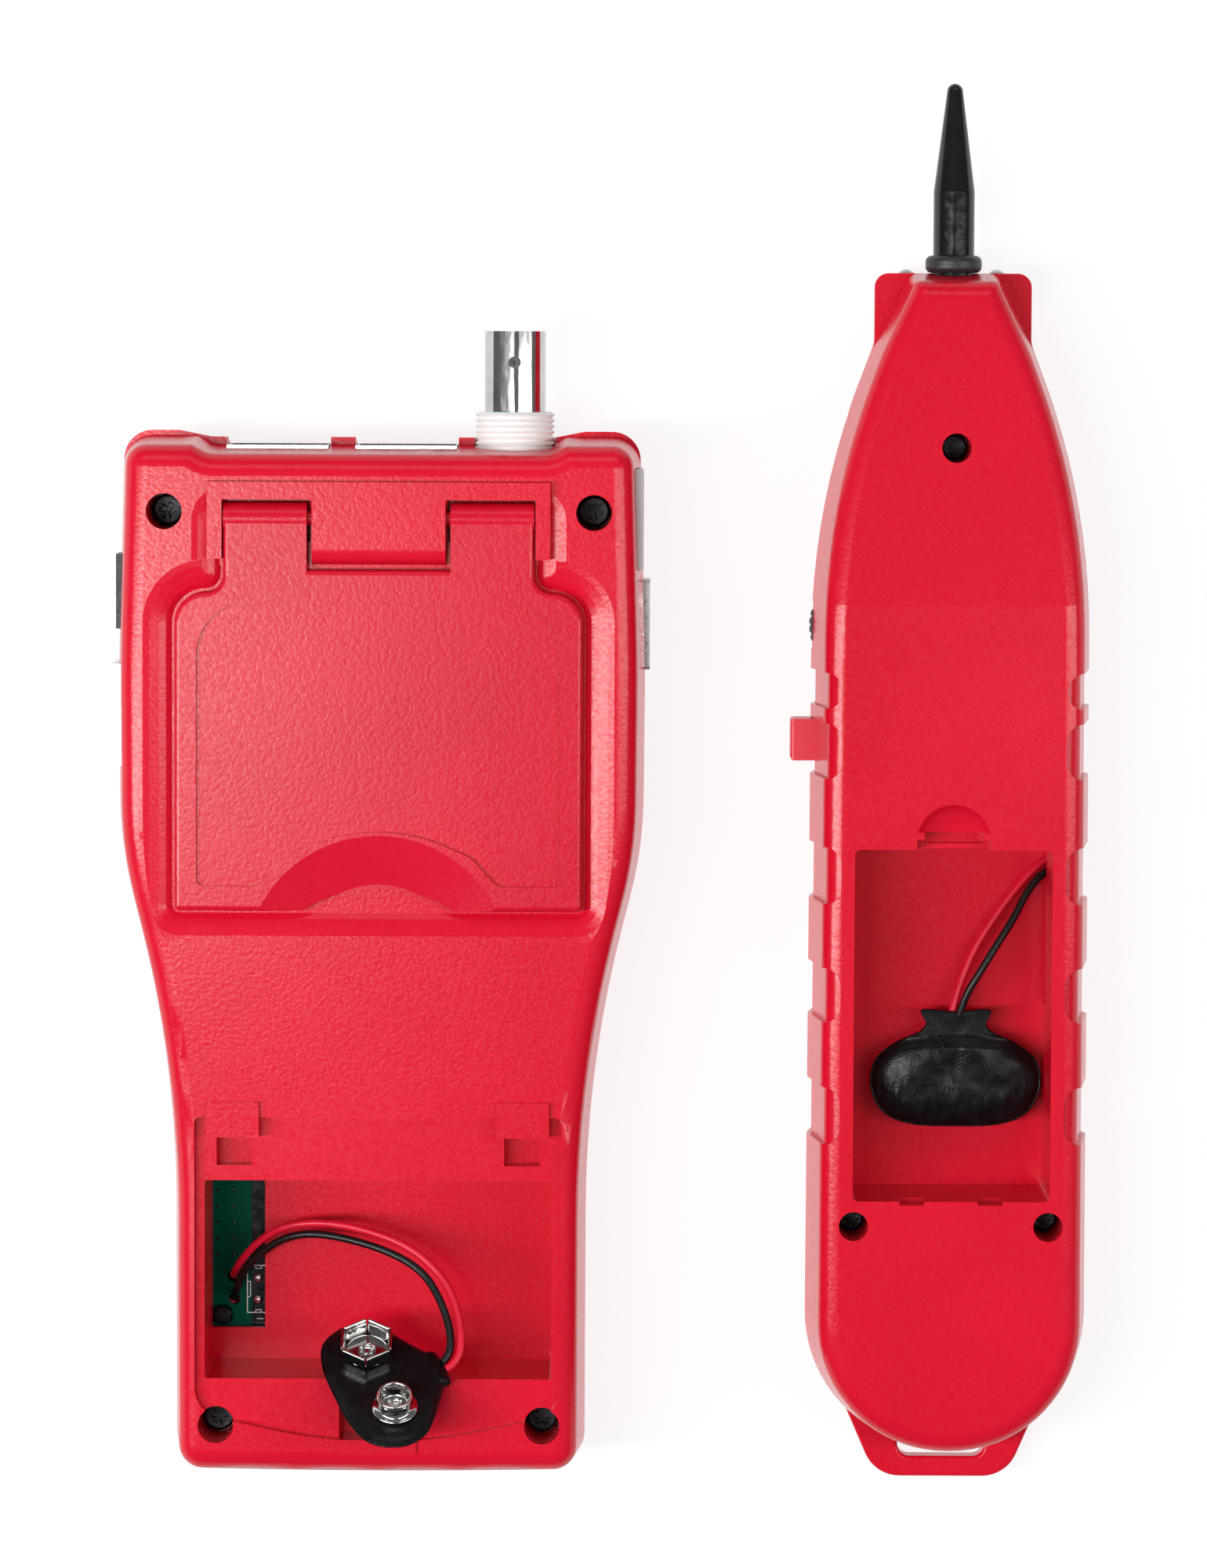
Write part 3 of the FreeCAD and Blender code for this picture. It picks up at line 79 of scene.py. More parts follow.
class Finish:
    """One procedural material: noises in the piece's own coordinates drive its colour, gloss and relief."""

    def __init__(self, name, **sockets):
        self.material = bpy.data.materials.new(name)
        self.material.use_nodes = True
        tree = self.material.node_tree
        self.nodes, self.links = tree.nodes, tree.links
        self.shader = self.nodes["Principled BSDF"]
        for socket, value in sockets.items():
            self.shader.inputs[socket.replace("_", " ")].default_value = value
        self.place = self.nodes.new("ShaderNodeTexCoord").outputs["Object"]

    def noise(self, size, detail=2.0, stretch=(1, 1, 1)):
        """Noise with lumps of the given size in millimetres, longer along a stretched axis."""
        node = self.nodes.new("ShaderNodeTexNoise")
        node.inputs["Scale"].default_value = 1000 / size
        node.inputs["Detail"].default_value = detail
        scale = self.nodes.new("ShaderNodeVectorMath")
        scale.operation = "MULTIPLY"
        scale.inputs[1].default_value = [1 / s for s in stretch]
        self.links.new(self.place, scale.inputs[0])
        self.links.new(scale.outputs[0], node.inputs["Vector"])
        return node.outputs["Fac"]

    def between(self, factor, low, high, start=0.3, stop=0.7):
        """Value that goes from low to high as the factor goes from start to stop."""
        node = self.nodes.new("ShaderNodeMapRange")
        for socket, value in zip(("From Min", "From Max", "To Min", "To Max"), (start, stop, low, high)):
            node.inputs[socket].default_value = value
        self.links.new(factor, node.inputs["Value"])
        return node.outputs["Result"]

    def maths(self, operation, first, second):
        """One step of arithmetic on sockets or numbers."""
        node = self.nodes.new("ShaderNodeMath")
        node.operation = operation
        for value, socket in zip((first, second), node.inputs):
            if isinstance(value, (int, float)):
                socket.default_value = value
            else:
                self.links.new(value, socket)
        return node.outputs[0]

    def colour(self, factor, dark, light, start=0.3, stop=0.7):
        """Base colour drifting between two tones."""
        node = self.nodes.new("ShaderNodeValToRGB")
        for stop_point, place, tone in zip(node.color_ramp.elements, (start, stop), (dark, light)):
            stop_point.position = place
            stop_point.color = (*tone, 1)
        self.links.new(factor, node.inputs["Fac"])
        self.links.new(node.outputs["Color"], self.shader.inputs["Base Color"])

    def gloss(self, value):
        """Roughness from a socket."""
        self.links.new(value, self.shader.inputs["Roughness"])

    def relief(self, height, depth, strength=1.0):
        """Bumps as deep as the given millimetres where the height goes from 0 to 1."""
        node = self.nodes.new("ShaderNodeBump")
        node.inputs["Distance"].default_value = depth * MM
        if isinstance(strength, float):
            node.inputs["Strength"].default_value = strength
        else:
            self.links.new(strength, node.inputs["Strength"])
        self.links.new(height, node.inputs["Height"])
        self.links.new(node.outputs["Normal"], self.shader.inputs["Normal"])

    def outside(self, middle, box, blur=0.4):
        """1 outside a device's box and 0 inside it, with a soft edge as wide as the blur in millimetres."""
        low, high = [(middle + x, y, z) for x, y, z in box]
        centre = [(a + b) / 2 * MM for a, b in zip(low, high)]
        half = [(b - a) / 2 for a, b in zip(low, high)]
        away = self.nodes.new("ShaderNodeVectorMath")
        away.operation = "SUBTRACT"
        away.inputs[1].default_value = centre
        self.links.new(self.place, away.inputs[0])
        size = self.nodes.new("ShaderNodeVectorMath")
        size.operation = "ABSOLUTE"
        self.links.new(away.outputs[0], size.inputs[0])
        parts = self.nodes.new("ShaderNodeSeparateXYZ")
        self.links.new(size.outputs[0], parts.inputs[0])
        beyond = [self.between(part, 0, 1, h * MM, (h + blur) * MM) for part, h in zip(parts.outputs, half)]
        return self.maths("MAXIMUM", self.maths("MAXIMUM", beyond[0], beyond[1]), beyond[2])


def moulded(name, dark, light, grain, depth, rough, **sockets):
    """Moulded plastic or rubber: a slow drift of tone, and a fine skin texture."""
    finish = Finish(name, **sockets)
    finish.colour(finish.noise(22, 3), dark, light)
    skin = finish.noise(grain, 3)
    finish.gloss(finish.between(skin, rough - 0.06, rough + 0.08))
    finish.relief(skin, depth)
    return finish.material


def spark_red():
    """Red case plastic: spark-eroded on the outside, smooth in the door recesses and the bays."""
    finish = Finish("case_red", Specular_IOR_Level=0.28)
    finish.colour(finish.noise(30, 3), (0.62, 0.004, 0.022), (0.68, 0.006, 0.027))
    textured = finish.maths("MULTIPLY", finish.outside(TESTER_X, TESTER_BAY),
                            finish.outside(PROBE_X, PROBE_BAY))
    skin = finish.noise(0.62, 2)
    finish.gloss(finish.between(skin, 0.17, 0.27))
    finish.relief(skin, 0.03, finish.between(textured, 0.15, 0.85, 0, 1))
    return finish.material


def stand_red():
    """Kickstand plastic: a textured rim round a smooth panel, brighter than the case."""
    finish = Finish("stand_red", Specular_IOR_Level=0.28)
    finish.colour(finish.noise(26, 3), (0.58, 0.004, 0.024), (0.64, 0.006, 0.029))
    rim = finish.outside(TESTER_X, STAND_PANEL)
    skin = finish.noise(0.62, 2)
    finish.gloss(finish.between(skin, 0.19, 0.29))
    finish.relief(skin, 0.03, finish.between(rim, 0.15, 0.85, 0, 1))
    return finish.material


def metal(name, dark, light, rough, grain, stretch=(1, 1, 1)):
    """Plated metal with faint handling marks and a drift in its polish."""
    finish = Finish(name, Metallic=1.0)
    finish.colour(finish.noise(4, 3), dark, light)
    marks = finish.noise(grain, 3, stretch)
    finish.gloss(finish.between(marks, rough * 0.7, rough * 1.4))
    finish.relief(marks, 0.002)
    return finish.material


def board_green():
    """Solder mask over copper: dark green with a faint weave and traces in relief."""
    finish = Finish("board_green", Specular_IOR_Level=0.03)
    weave = finish.noise(0.5, 1)
    finish.colour(finish.noise(2.2, 2, (1, 4, 1)), (0.0002, 0.065, 0.037), (0.0004, 0.1, 0.058))
    finish.gloss(finish.between(weave, 0.28, 0.45))
    finish.relief(weave, 0.02)
    return finish.material


def vinyl():
    """Thin black vinyl: leather grain, and fine creases that run across its swollen edge."""
    finish = Finish("black_vinyl", Specular_IOR_Level=0.2)
    finish.colour(finish.noise(3, 3), (0.003, 0.003, 0.003), (0.006, 0.006, 0.007))
    grain = finish.noise(0.34, 3)
    creases = finish.noise(0.42, 2, (1, 3.4, 1))
    low = finish.nodes.new("ShaderNodeSeparateXYZ")
    finish.links.new(finish.place, low.inputs[0])
    creased = finish.between(low.outputs["Y"], 1.0, 0.12, -0.0045, 0.002)
    folds = finish.maths("MULTIPLY", creases, creased)
    skin = finish.maths("ADD", folds, finish.maths("MULTIPLY", grain, 0.5))
    finish.gloss(finish.between(finish.noise(1.6, 3), 0.2, 0.32))
    finish.relief(skin, 0.1, 0.8)
    return finish.material


def insulation(name, dark, light):
    """Extruded lead insulation: smooth, with faint drag lines and scuffs."""
    finish = Finish(name, Specular_IOR_Level=0.4)
    finish.colour(finish.noise(3, 3), dark, light)
    scuff = finish.noise(0.5, 3)
    finish.gloss(finish.between(scuff, 0.26, 0.42))
    finish.relief(scuff, 0.012)
    return finish.material


def all_finishes():
    """Material for each slot of the record."""
    return {
        "case_red": spark_red(),
        "stand_red": stand_red(),
        "face_overlay": moulded("face_overlay", (0.03, 0.03, 0.033), (0.05, 0.05, 0.055), 0.5, 0.01, 0.34),
        "display_window": moulded("display_window", (0.012, 0.014, 0.016), (0.02, 0.023, 0.026), 1.2, 0.004,
                                  0.12, Coat_Weight=0.6),
        "display_module": moulded("display_module", (0.28, 0.32, 0.26), (0.34, 0.38, 0.31), 0.6, 0.01, 0.4),
        "key_rubber": moulded("key_rubber", (0.05, 0.05, 0.053), (0.07, 0.07, 0.074), 0.3, 0.02, 0.6),
        "board_green": board_green(),
        "black_screw": metal("black_screw", (0.018, 0.018, 0.019), (0.045, 0.045, 0.048), 0.42, 0.5),
        "tinned_shell": metal("tinned_shell", (0.55, 0.55, 0.55), (0.72, 0.72, 0.71), 0.3, 0.5, (4, 1, 1)),
        "black_plastic": moulded("black_plastic", (0.012, 0.012, 0.013), (0.022, 0.022, 0.024), 0.4, 0.03,
                                 0.42),
        "gold_contact": metal("gold_contact", (0.78, 0.52, 0.18), (0.9, 0.66, 0.28), 0.22, 0.4),
        "grey_plastic": moulded("grey_plastic", (0.52, 0.54, 0.54), (0.62, 0.64, 0.64), 0.5, 0.02, 0.45),
        "white_nylon": moulded("white_nylon", (0.8, 0.8, 0.79), (0.88, 0.88, 0.87), 0.6, 0.02, 0.38),
        "nickel": metal("nickel", (0.5, 0.49, 0.48), (0.62, 0.61, 0.6), 0.1, 0.7, (1, 5, 1)),
        "glossy_black": moulded("glossy_black", (0.004, 0.004, 0.005), (0.008, 0.008, 0.009), 1.5, 0.004,
                                0.14),
        "button_red": moulded("button_red", (0.66, 0.012, 0.03), (0.74, 0.016, 0.038), 0.4, 0.02, 0.36),
        "lamp_clear": moulded("lamp_clear", (0.7, 0.72, 0.75), (0.8, 0.82, 0.84), 0.8, 0.005, 0.12),
        "black_vinyl": vinyl(),
        "red_insulation": insulation("red_insulation", (0.6, 0.006, 0.03), (0.7, 0.01, 0.04)),
        "black_insulation": insulation("black_insulation", (0.004, 0.004, 0.004), (0.009, 0.009, 0.01)),
    }


def dress_cad_nodes(finishes):
    """Gives each carried-over node the material of its slot."""
    for part in frame["record"]["subparts"]:
        materials = frame["nodes"][part["node"]].data.materials
        materials.clear()
        materials.append(finishes[part["material_slot"]])


# ---------------------------------------------------------------- leads

LEAD_WIDTH = 1.25 * MM

# The device's middle, the length in metres, and points in millimetres from the snap to the board.
ROUTES = {
    "transmitter_snap_red_lead": (TESTER_X, 0.0635, [
        (10.8, -90.5, 30.2), (12.6, -89.6, 29.9), (13.4, -85.6, 28.6), (11.9, -79.7, 25.2),
        (8.9, -75.6, 22.7), (3.9, -72.1, 20.5), (-3.7, -69.8, 18.6), (-10.3, -69.2, 17.0),
        (-15.9, -70.3, 15.0), (-19.8, -73.0, 13.0), (-22.6, -76.3, 11.4), (-24.0, -79.0, 9.4),
        (-24.1, -79.6, 5.7)]),
    "transmitter_snap_black_lead": (TESTER_X, 0.059, [
        (10.2, -89.6, 29.1), (11.5, -88.4, 28.7), (11.4, -84.6, 27.3), (9.7, -80.3, 24.6),
        (7.0, -76.4, 22.0), (2.1, -73.7, 20.0), (-4.9, -71.8, 17.8), (-11.2, -71.1, 16.0),
        (-15.9, -72.3, 14.2), (-19.5, -75.0, 12.6), (-22.4, -78.2, 11.0), (-23.5, -81.5, 9.8),
        (-23.9, -83.1, 6.0)]),
    "probe_snap_black_lead": (PROBE_X, 0.0346, [
        (2.0, -35.8, 14.3), (2.7, -33.0, 14.9), (4.9, -29.3, 15.4), (7.6, -24.8, 15.0),
        (10.4, -20.6, 14.0), (12.7, -16.0, 13.0), (15.2, -13.2, 12.2), (17.8, -12.6, 10.8),
        (18.1, -12.9, 8.0), (18.0, -13.2, 5.7)]),
    "probe_snap_red_lead": (PROBE_X, 0.0364, [
        (0.7, -35.8, 13.6), (1.5, -33.0, 13.3), (2.6, -29.6, 12.9), (4.0, -26.2, 12.6),
        (6.2, -22.4, 12.4), (9.4, -17.8, 12.0), (12.8, -13.6, 11.6), (15.6, -11.2, 11.2),
        (17.9, -10.2, 10.3), (18.2, -10.4, 8.0), (18.0, -10.5, 5.7)]),
}


def add_lead(node, middle, route, finish):
    """Lead as one smooth curve from the battery snap to the board."""
    points = [Vector((x + middle, y, z)) * MM for x, y, z in route]
    data = bpy.data.curves.new(node + "_wire", "CURVE")
    data.dimensions = "3D"
    data.bevel_depth = LEAD_WIDTH / 2
    data.bevel_resolution = 6
    data.resolution_u = 12
    data.use_fill_caps = True
    spline = data.splines.new("NURBS")
    spline.points.add(len(points) - 1)
    for target, point in zip(spline.points, points):
        target.co = (*point, 1)
    spline.order_u = 3
    spline.use_endpoint_u = True
    data.materials.append(finish)
    wire = bpy.data.objects.new(node + "_wire", data)
    bpy.context.scene.collection.objects.link(wire)
    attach(wire, "transmitter" if middle == TESTER_X else "probe")
    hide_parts(node)


# ---------------------------------------------------------------- built pieces

# Millimetres, in a frame with the contacts facing up. An outline is the right half of a vinyl cover, from
# its foot to its neck, and a profile is a list of (radius, height).
PAD_OUTLINES = {
    "transmitter": [(6.6, -7.2), (11.2, -5.4), (13.3, -1.2), (12.4, 2.6), (9.6, 5.2), (6.2, 7.4), (3.7, 9.1),
                    (3.2, 10.3)],
    "probe": [(7.0, -7.2), (11.5, -5.2), (13.4, -1.2), (12.6, 3.0), (9.2, 5.8), (5.9, 7.3), (4.7, 8.7),
              (5.3, 10.9)],
}
PAD_FOOT = Vector((0, -7.5, 0))
PAD_NECK = Vector((0, 10.6, 0))
PAD_CENTRE = Vector((0, 2.0, 0))
PAD_ROWS = 34
SWELL_RISE = {"transmitter": 1.15, "probe": 1.75}
FOLD_DEPTH = {"transmitter": 0.12, "probe": 0.4}
PLATE_BACK = -0.95
NECK_BACK = -1.9
NECK_START, NECK_LENGTH = 5.0, 2
FOOT_START, FOOT_LENGTH = 1.5, 4
FOLD_RING, FOLD_RING_WIDTH = 0.8, 0.24  # shares of the way to the edge
FRONT_FACE = -0.14
FRONT_DROP = 0.95
FRONT_WAVES = 0.12
LUMP_HEIGHT = 0.3
CREASE_HEIGHT = 0.07
BROAD, FINE, FOLDS = (0.2, 0.2), (0.62, 0.5), (1.5, 0.24)  # noise scales across and along the cover
WELD_WIDTH = 0.22

STUD_PITCH = 12.7
HEX_TURN = {"transmitter": 8, "probe": 30}  # degrees
PETAL_STATIONS = (-1.0, -0.93, -0.4, 0.4, 0.93, 1.0)  # shares of a petal's half width
PETAL_HALF_ANGLE = 29.7  # degrees
PETAL_GAP = 0.5  # degrees lost per millimetre of height
PETAL = [(3.42, 0.0), (3.52, 1.2), (3.66, 2.3), (3.86, 2.6), (4.04, 2.76), (4.0, 2.98), (3.8, 3.08),
         (3.55, 2.92), (3.38, 2.45), (3.28, 1.5), (3.18, 0.2)]
SOCKET_BASE = [(0.02, 0.3), (2.7, 0.3), (3.25, 0.38), (3.5, 0.2), (3.4, 0.0), (0.02, 0.0)]
STUD = [(0.02, 0.5), (2.0, 0.5), (2.25, 0.7), (2.3, 1.7), (2.22, 2.6), (2.28, 3.0), (2.52, 3.2),
        (2.82, 3.1), (2.9, 2.8), (2.74, 2.4), (2.68, 1.4), (2.78, 0.95), (3.1, 0.62), (3.5, 0.5),
        (3.66, 0.28), (3.5, 0.04), (3.2, 0.0), (0.02, 0.0)]
RIVET = [(0.02, -0.1), (0.5, 0.0), (0.62, 0.4), (0.95, 0.6), (1.25, 0.5), (1.45, 0.2), (1.4, -0.1)]
SOCKET_RIVET_LIFT = 0.3
STUD_RIVET_LIFT = 0.6
RIVET_NOTCHES = 6
NOTCH_REACH = 0.12
NOTCH_DROP = 0.45

# The device's middle, the snap's centre, its spin and tilt in degrees, and whether the contacts face down.
SNAPS = {
    "transmitter": (TESTER_X, (0.65, -91.7, 33.3), -68.0, -52.0, False),
    "probe": (PROBE_X, (1.4, -46.1, 12.9), 0.0, 0.0, True),
}


def snap_pose(middle, centre, spin, tilt, flip):
    """Place of a battery snap: spun flat, tipped about X and set at its centre."""
    place = Matrix.Translation(Vector((middle + centre[0], centre[1], centre[2])) * MM)
    turn = Matrix.Rotation(math.radians(tilt), 4, "X") @ Matrix.Rotation(math.radians(spin), 4, "Z")
    over = Matrix.Rotation(math.pi, 4, "Y") if flip else Matrix.Identity(4)
    return place @ turn @ over


def add_piece(name, form, body, material, place=None, replaces=None, smooth=2):
    """Object from a mesh drawn in millimetres; smooth is 0 for faceted, 1 for smooth, 2 for subdivided."""
    bmesh.ops.recalc_face_normals(form, faces=form.faces)
    bmesh.ops.scale(form, vec=(MM, MM, MM), verts=form.verts)
    mesh = bpy.data.meshes.new(name)
    form.to_mesh(mesh)
    form.free()
    for face in mesh.polygons:
        face.use_smooth = smooth > 0
    mesh.materials.append(material)
    piece = bpy.data.objects.new(name, mesh)
    bpy.context.scene.collection.objects.link(piece)
    if smooth > 1:
        piece.modifiers.new("round", "SUBSURF").levels = 1
        piece.modifiers["round"].render_levels = 2
    if place:
        piece.matrix_world = place
    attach(piece, body)
    if replaces:
        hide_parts(replaces)
    return piece


def grid_faces(form, rows):
    """Quads between successive closed rows of points."""
    count = len(rows[0])
    for row, following in zip(rows, rows[1:]):
        for i in range(count):
            j = (i + 1) % count
            form.faces.new((row[i], row[j], following[j], following[i]))


def revolve(form, profile, x, lift=0.0, splits=0.0, steps=48, y=0.0):
    """Solid turned about an upright axis; splits of 1 cuts a rivet's notches into its rim, 0 cuts none."""
    rows = []
    for radius, height in profile:
        row = []
        for step in range(steps):
            angle = math.tau * step / steps
            notch = splits * max(0.0, math.cos(RIVET_NOTCHES * angle)) ** 4 * min(1.0, radius)
            reach = radius * (1 - NOTCH_REACH * notch)
            row.append(form.verts.new((x + reach * math.cos(angle), y + reach * math.sin(angle),
                                       height + lift - NOTCH_DROP * notch * (height > 0.1))))
        rows.append(row)
    grid_faces(form, rows)
    form.faces.new(rows[0])
    form.faces.new(rows[-1])


def add_socket(node, pose, body, material):
    """Hexagonal female contact: six bent petals with rolled tops on a base, and a split rivet."""
    form = bmesh.new()
    x = -STUD_PITCH / 2
    for side in range(6):
        angle = math.radians(60 * side + HEX_TURN[body])
        out = Vector((math.cos(angle), math.sin(angle), 0))
        along = Vector((-out.y, out.x, 0))
        rows = []
        for place in PETAL_STATIONS:
            row = []
            for radius, height in PETAL:
                sideways = place * radius * math.tan(math.radians(PETAL_HALF_ANGLE - PETAL_GAP * height))
                row.append(form.verts.new(Vector((x, 0, height)) + out * radius + along * sideways))
            rows.append(row)
        grid_faces(form, rows)
        form.faces.new(rows[0])
        form.faces.new(rows[-1])
    revolve(form, SOCKET_BASE, x)
    revolve(form, RIVET, x, SOCKET_RIVET_LIFT, 1.0)
    add_piece(node + "_petals", form, body, material, pose, node)


def add_stud(node, pose, body, material):
    """Round male contact: flanged cup with a rolled rim and a split rivet."""
    form = bmesh.new()
    revolve(form, STUD, STUD_PITCH / 2)
    revolve(form, RIVET, STUD_PITCH / 2, STUD_RIVET_LIFT, 1.0)
    add_piece(node + "_cup", form, body, material, pose, node)


def smooth_loop(points, steps):
    """Closed curve through the points."""
    loop = []
    count = len(points)
    for i in range(count):
        a, b, c, d = (points[(i + k - 1) % count] for k in range(4))
        for step in range(steps):
            t = step / steps
            loop.append(0.5 * (2 * b + (c - a) * t + (2 * a - 5 * b + 4 * c - d) * t * t
                               + (3 * b - a - 3 * c + d) * t ** 3))
    return loop


def lump(point, scales, seed):
    """Smooth noise over the pad, finer for larger scales."""
    across, along = scales
    return noise.noise(Vector((point.x * across, point.y * along, seed)))


def ramp(value, length):
    """0 up to a value of 0, 1 from the length on, and straight in between."""
    return min(1.0, max(0.0, value / length))


def pad_surface(point, t, device, back):
    """Height in millimetres of the vinyl over one point; t runs from 0 at the middle to 1 at the edge."""
    swell = max(0.0, 1 - t ** 5)
    if not back:
        return FRONT_FACE - FRONT_DROP * t ** 12 + FRONT_WAVES * swell * lump(point, BROAD, 7.0) * t
    swollen = PLATE_BACK - SWELL_RISE[device] * swell ** 0.8
    neck = ramp(point.y - NECK_START, NECK_LENGTH)
    swollen = swollen * (1 - neck) + NECK_BACK * neck
    bumps = LUMP_HEIGHT * lump(point, BROAD, 3.0) * swell + CREASE_HEIGHT * lump(point, FINE, 11.0) * swell
    foot = ramp(FOOT_START - point.y, FOOT_LENGTH) * max(0.0, 1 - abs(t - FOLD_RING) / FOLD_RING_WIDTH)
    return swollen + bumps - FOLD_DEPTH[device] * lump(point, FOLDS, 5.0) * foot


def add_pad(node, pose, body, material):
    """Vinyl cover of a battery snap, swollen over the snap's plate and welded flat round the edge."""
    corners = [Vector((x, y, 0)) for x, y in PAD_OUTLINES[body]]
    mirrored = [Vector((-x, y, 0)) for x, y in reversed(PAD_OUTLINES[body])]
    loop = smooth_loop(corners + [PAD_NECK] + mirrored + [PAD_FOOT], 12)
    shares = [1 - (1 - k / PAD_ROWS) ** 1.5 for k in range(1, PAD_ROWS + 1)]
    form = bmesh.new()
    sides = []
    for back in (False, True):
        middle = form.verts.new((PAD_CENTRE.x, PAD_CENTRE.y, pad_surface(PAD_CENTRE, 0, body, back)))
        rows = []
        for t in shares:
            row = []
            for edge in loop:
                point = PAD_CENTRE + (edge - PAD_CENTRE) * t
                row.append(form.verts.new((point.x, point.y, pad_surface(point, t, body, back))))
            rows.append(row)
        grid_faces(form, rows)
        for i in range(len(loop)):
            form.faces.new((middle, rows[0][i], rows[0][(i + 1) % len(loop)]))
        sides.append(rows[-1])
    rim = [form.verts.new(v.co.lerp(w.co, 0.5) + (v.co - PAD_CENTRE).normalized() * WELD_WIDTH)
           for v, w in zip(*sides)]
    grid_faces(form, [sides[0], rim, sides[1]])
    add_piece(node + "_cover", form, body, material, pose, node, 1)


def add_snap(device, pose, finishes):
    """Battery snap: vinyl cover and its two contacts."""
    add_pad(device + "_snap_pad", pose, device, finishes["black_vinyl"])
    add_socket(device + "_snap_socket", pose, device, finishes["nickel"])
    add_stud(device + "_snap_stud", pose, device, finishes["nickel"])


# ---------------------------------------------------------------- marks on the tester's board

# Millimetres, with x counted from the middle of the tester.
BOARD_TOP = 7.2
HEADER = (-21.9, -17.6, -85.5, -77.7)
HEADER_PINS = (-79.8, -83.3)
LINE = 0.16
THIN_LINE = 0.13
MARK_LINE = 0.14
BRACKET = (-20.55, -19.47)
BRACKET_REACH = 0.6
SIDE_MARK = (-82.9, -80.3)
PLUS_BAR = ((-20.5, -19.4), (-76.5, -76.34))
PLUS_STEM = ((-20.03, -19.87), (-77.0, -75.85))
MINUS_BAR = ((-20.3, -19.2), (-86.5, -86.34))
# Painted shade: a black sheet with a raised line on it, laid on the board where the board lies in shade
# beside the header.
PAINTED_SHADE_STRIP = ((-21.1, -16.2), (-88.2, -60.2))
PAINTED_SHADE_RIDGE = ((-20.5, -20.2), (-76.9, -60.2))
VIA_COLUMNS = (-26.6, -23.9)
VIA_ROWS = 6
VIA_PITCH = 2.62
FIRST_VIA = -62.9
VIA = [(0.02, 0.02), (0.12, 0.02), (0.2, 0.05), (0.28, 0.0), (0.02, -0.02)]
SOLDER = [(0.02, 0.3), (0.3, 0.25), (0.62, 0.1), (0.8, 0.0), (0.02, -0.02)]


def slab(form, x_span, y_span, low, high):
    """Small block with chamfered upper edges."""
    inset = min(0.03, (x_span[1] - x_span[0]) / 4)
    rows = []
    for z, shrink in ((low, 0), (high - 0.01, 0), (high, inset)):
        x0, x1 = x_span[0] + shrink, x_span[1] - shrink
        y0, y1 = y_span[0] + shrink, y_span[1] - shrink
        corners = ((x0, y0), (x1, y0), (x1, y1), (x0, y1))
        rows.append([form.verts.new((TESTER_X + x, y, z)) for x, y in corners])
    grid_faces(form, rows)
    form.faces.new(rows[0])
    form.faces.new(rows[-1])


def header_lines():
    """Spans of the printed lines: outline, side mark, the bracket at each end, plus and minus."""
    x0, x1, y0, y1 = HEADER
    side = x0 + 0.5 + MARK_LINE
    left, right = BRACKET
    lines = [((x0, x0 + LINE), (y0, y1)), ((x0, x1), (y1 - LINE, y1)), ((x0, x1), (y0, y0 + LINE)),
             ((side - MARK_LINE, side), SIDE_MARK), ((x0, side), (SIDE_MARK[1] - MARK_LINE, SIDE_MARK[1])),
             ((x0, side), (SIDE_MARK[0], SIDE_MARK[0] + MARK_LINE))]
    far, near = y1 - BRACKET_REACH, y0 + BRACKET_REACH - THIN_LINE
    for inner, legs in ((far, (y1 - BRACKET_REACH, y1)), (near, (y0, y0 + BRACKET_REACH))):
        lines += [((left, left + THIN_LINE), legs), ((right - THIN_LINE, right), legs),
                  ((left, right), (inner, inner + THIN_LINE))]
    return lines + [PLUS_BAR, PLUS_STEM, MINUS_BAR]


def add_board_marks(finishes):
    """Black sheet with a raised line that paints the board's shade beside the header, printed header outline
    with polarity marks, rows of vias, and solder joints.
    """
    # Painted shade: the shaded strip of board beside the header, drawn as a glossy black sheet.
    shade_sheet = bmesh.new()
    slab(shade_sheet, *PAINTED_SHADE_STRIP, BOARD_TOP, BOARD_TOP + 0.05)
    slab(shade_sheet, *PAINTED_SHADE_RIDGE, BOARD_TOP, BOARD_TOP + 0.16)
    add_piece("board_painted_shade", shade_sheet, "transmitter", finishes["glossy_black"], smooth=0)
    ink = bmesh.new()
    for x_span, y_span in header_lines():
        slab(ink, x_span, y_span, BOARD_TOP + 0.04, BOARD_TOP + 0.08)
    add_piece("board_print", ink, "transmitter", finishes["white_nylon"], smooth=0)
    vias = bmesh.new()
    for x in VIA_COLUMNS:
        for row in range(VIA_ROWS):
            revolve(vias, VIA, TESTER_X + x, BOARD_TOP + 0.01, 0.0, 16, FIRST_VIA - VIA_PITCH * row)
    add_piece("board_vias", vias, "transmitter", finishes["glossy_black"], smooth=1)
    solder = bmesh.new()
    for y in HEADER_PINS:
        revolve(solder, SOLDER, TESTER_X - 20.05, BOARD_TOP + 0.06, 0.0, 24, y)
    add_piece("board_solder", solder, "transmitter", finishes["tinned_shell"], smooth=1)


# ---------------------------------------------------------------- floor and light

FLOOR_DROP = 0.2
FLOOR_GLOW = 0.82
SURROUND = 0.16

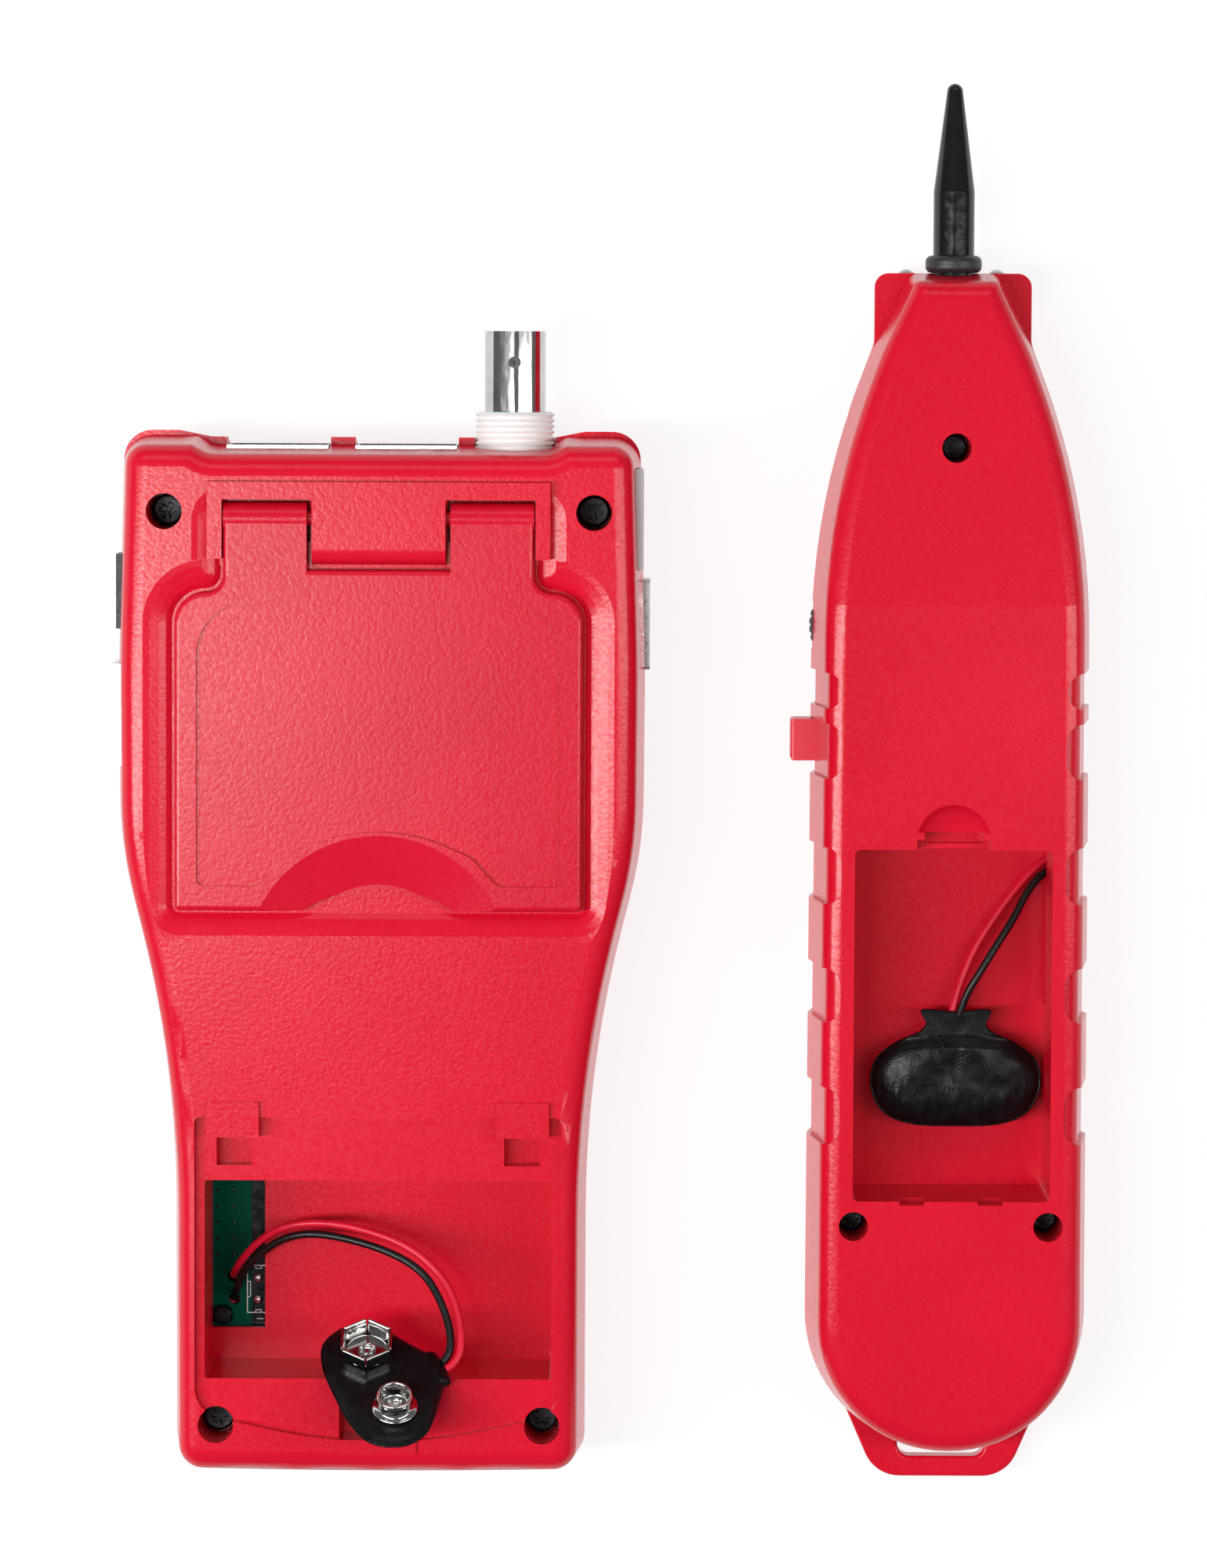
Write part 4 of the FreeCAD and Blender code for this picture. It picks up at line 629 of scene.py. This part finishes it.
# Name, place, width and height in metres, and power in watts.
SOFTBOXES = [
    ("softbox_left", (-0.5, -0.06, 0.8), 0.12, 0.9, 8.4),
    ("softbox_right", (0.6, 0.0, 0.74), 0.1, 0.9, 3.2),
    ("softbox_head", (0.0, 0.75, 0.65), 0.9, 0.3, 1.2),
]


def add_floor():
    """Plain pale floor under both devices."""
    finish = Finish("floor_white", Specular_IOR_Level=0.1, Emission_Color=(1, 1, 1, 1),
                    Emission_Strength=FLOOR_GLOW)
    finish.colour(finish.noise(300, 2), (0.2, 0.2, 0.2), (0.22, 0.22, 0.22))
    finish.gloss(finish.between(finish.noise(80, 2), 0.7, 0.8))
    mesh = bpy.data.meshes.new("floor")
    form = bmesh.new()
    bmesh.ops.create_grid(form, x_segments=2, y_segments=2, size=3)
    form.to_mesh(mesh)
    form.free()
    mesh.materials.append(finish.material)
    floor = bpy.data.objects.new("floor", mesh)
    floor.location.z = -FLOOR_DROP * MM
    bpy.context.scene.collection.objects.link(floor)


def add_softbox(name, place, width, height, power):
    """Rectangular soft light aimed at the pair."""
    data = bpy.data.lights.new(name, "AREA")
    data.shape = "RECTANGLE"
    data.size = width
    data.size_y = height
    data.energy = power
    lamp = bpy.data.objects.new(name, data)
    lamp.location = place
    lamp.rotation_euler = (Vector((0, 0, 0.02)) - Vector(place)).to_track_quat("-Z", "Y").to_euler()
    bpy.context.scene.collection.objects.link(lamp)


def add_light():
    """Large softboxes on both sides and one at the head, over a weak even surround."""
    world = bpy.data.worlds.new("surround")
    world.use_nodes = True
    world.node_tree.nodes["Background"].inputs["Color"].default_value = (1, 1, 1, 1)
    world.node_tree.nodes["Background"].inputs["Strength"].default_value = SURROUND
    bpy.context.scene.world = world
    for name, place, width, height, power in SOFTBOXES:
        add_softbox(name, place, width, height, power)
    bpy.context.scene.view_settings.view_transform = "Standard"


# ---------------------------------------------------------------- the scene

add_camera()
finishes = all_finishes()
dress_cad_nodes(finishes)
for node, (middle, length, route) in ROUTES.items():
    colour = "red_insulation" if "red" in node else "black_insulation"
    add_lead(node, middle, route, finishes[colour])
for device, place in SNAPS.items():
    add_snap(device, snap_pose(*place), finishes)
add_board_marks(finishes)
add_floor()
add_light()
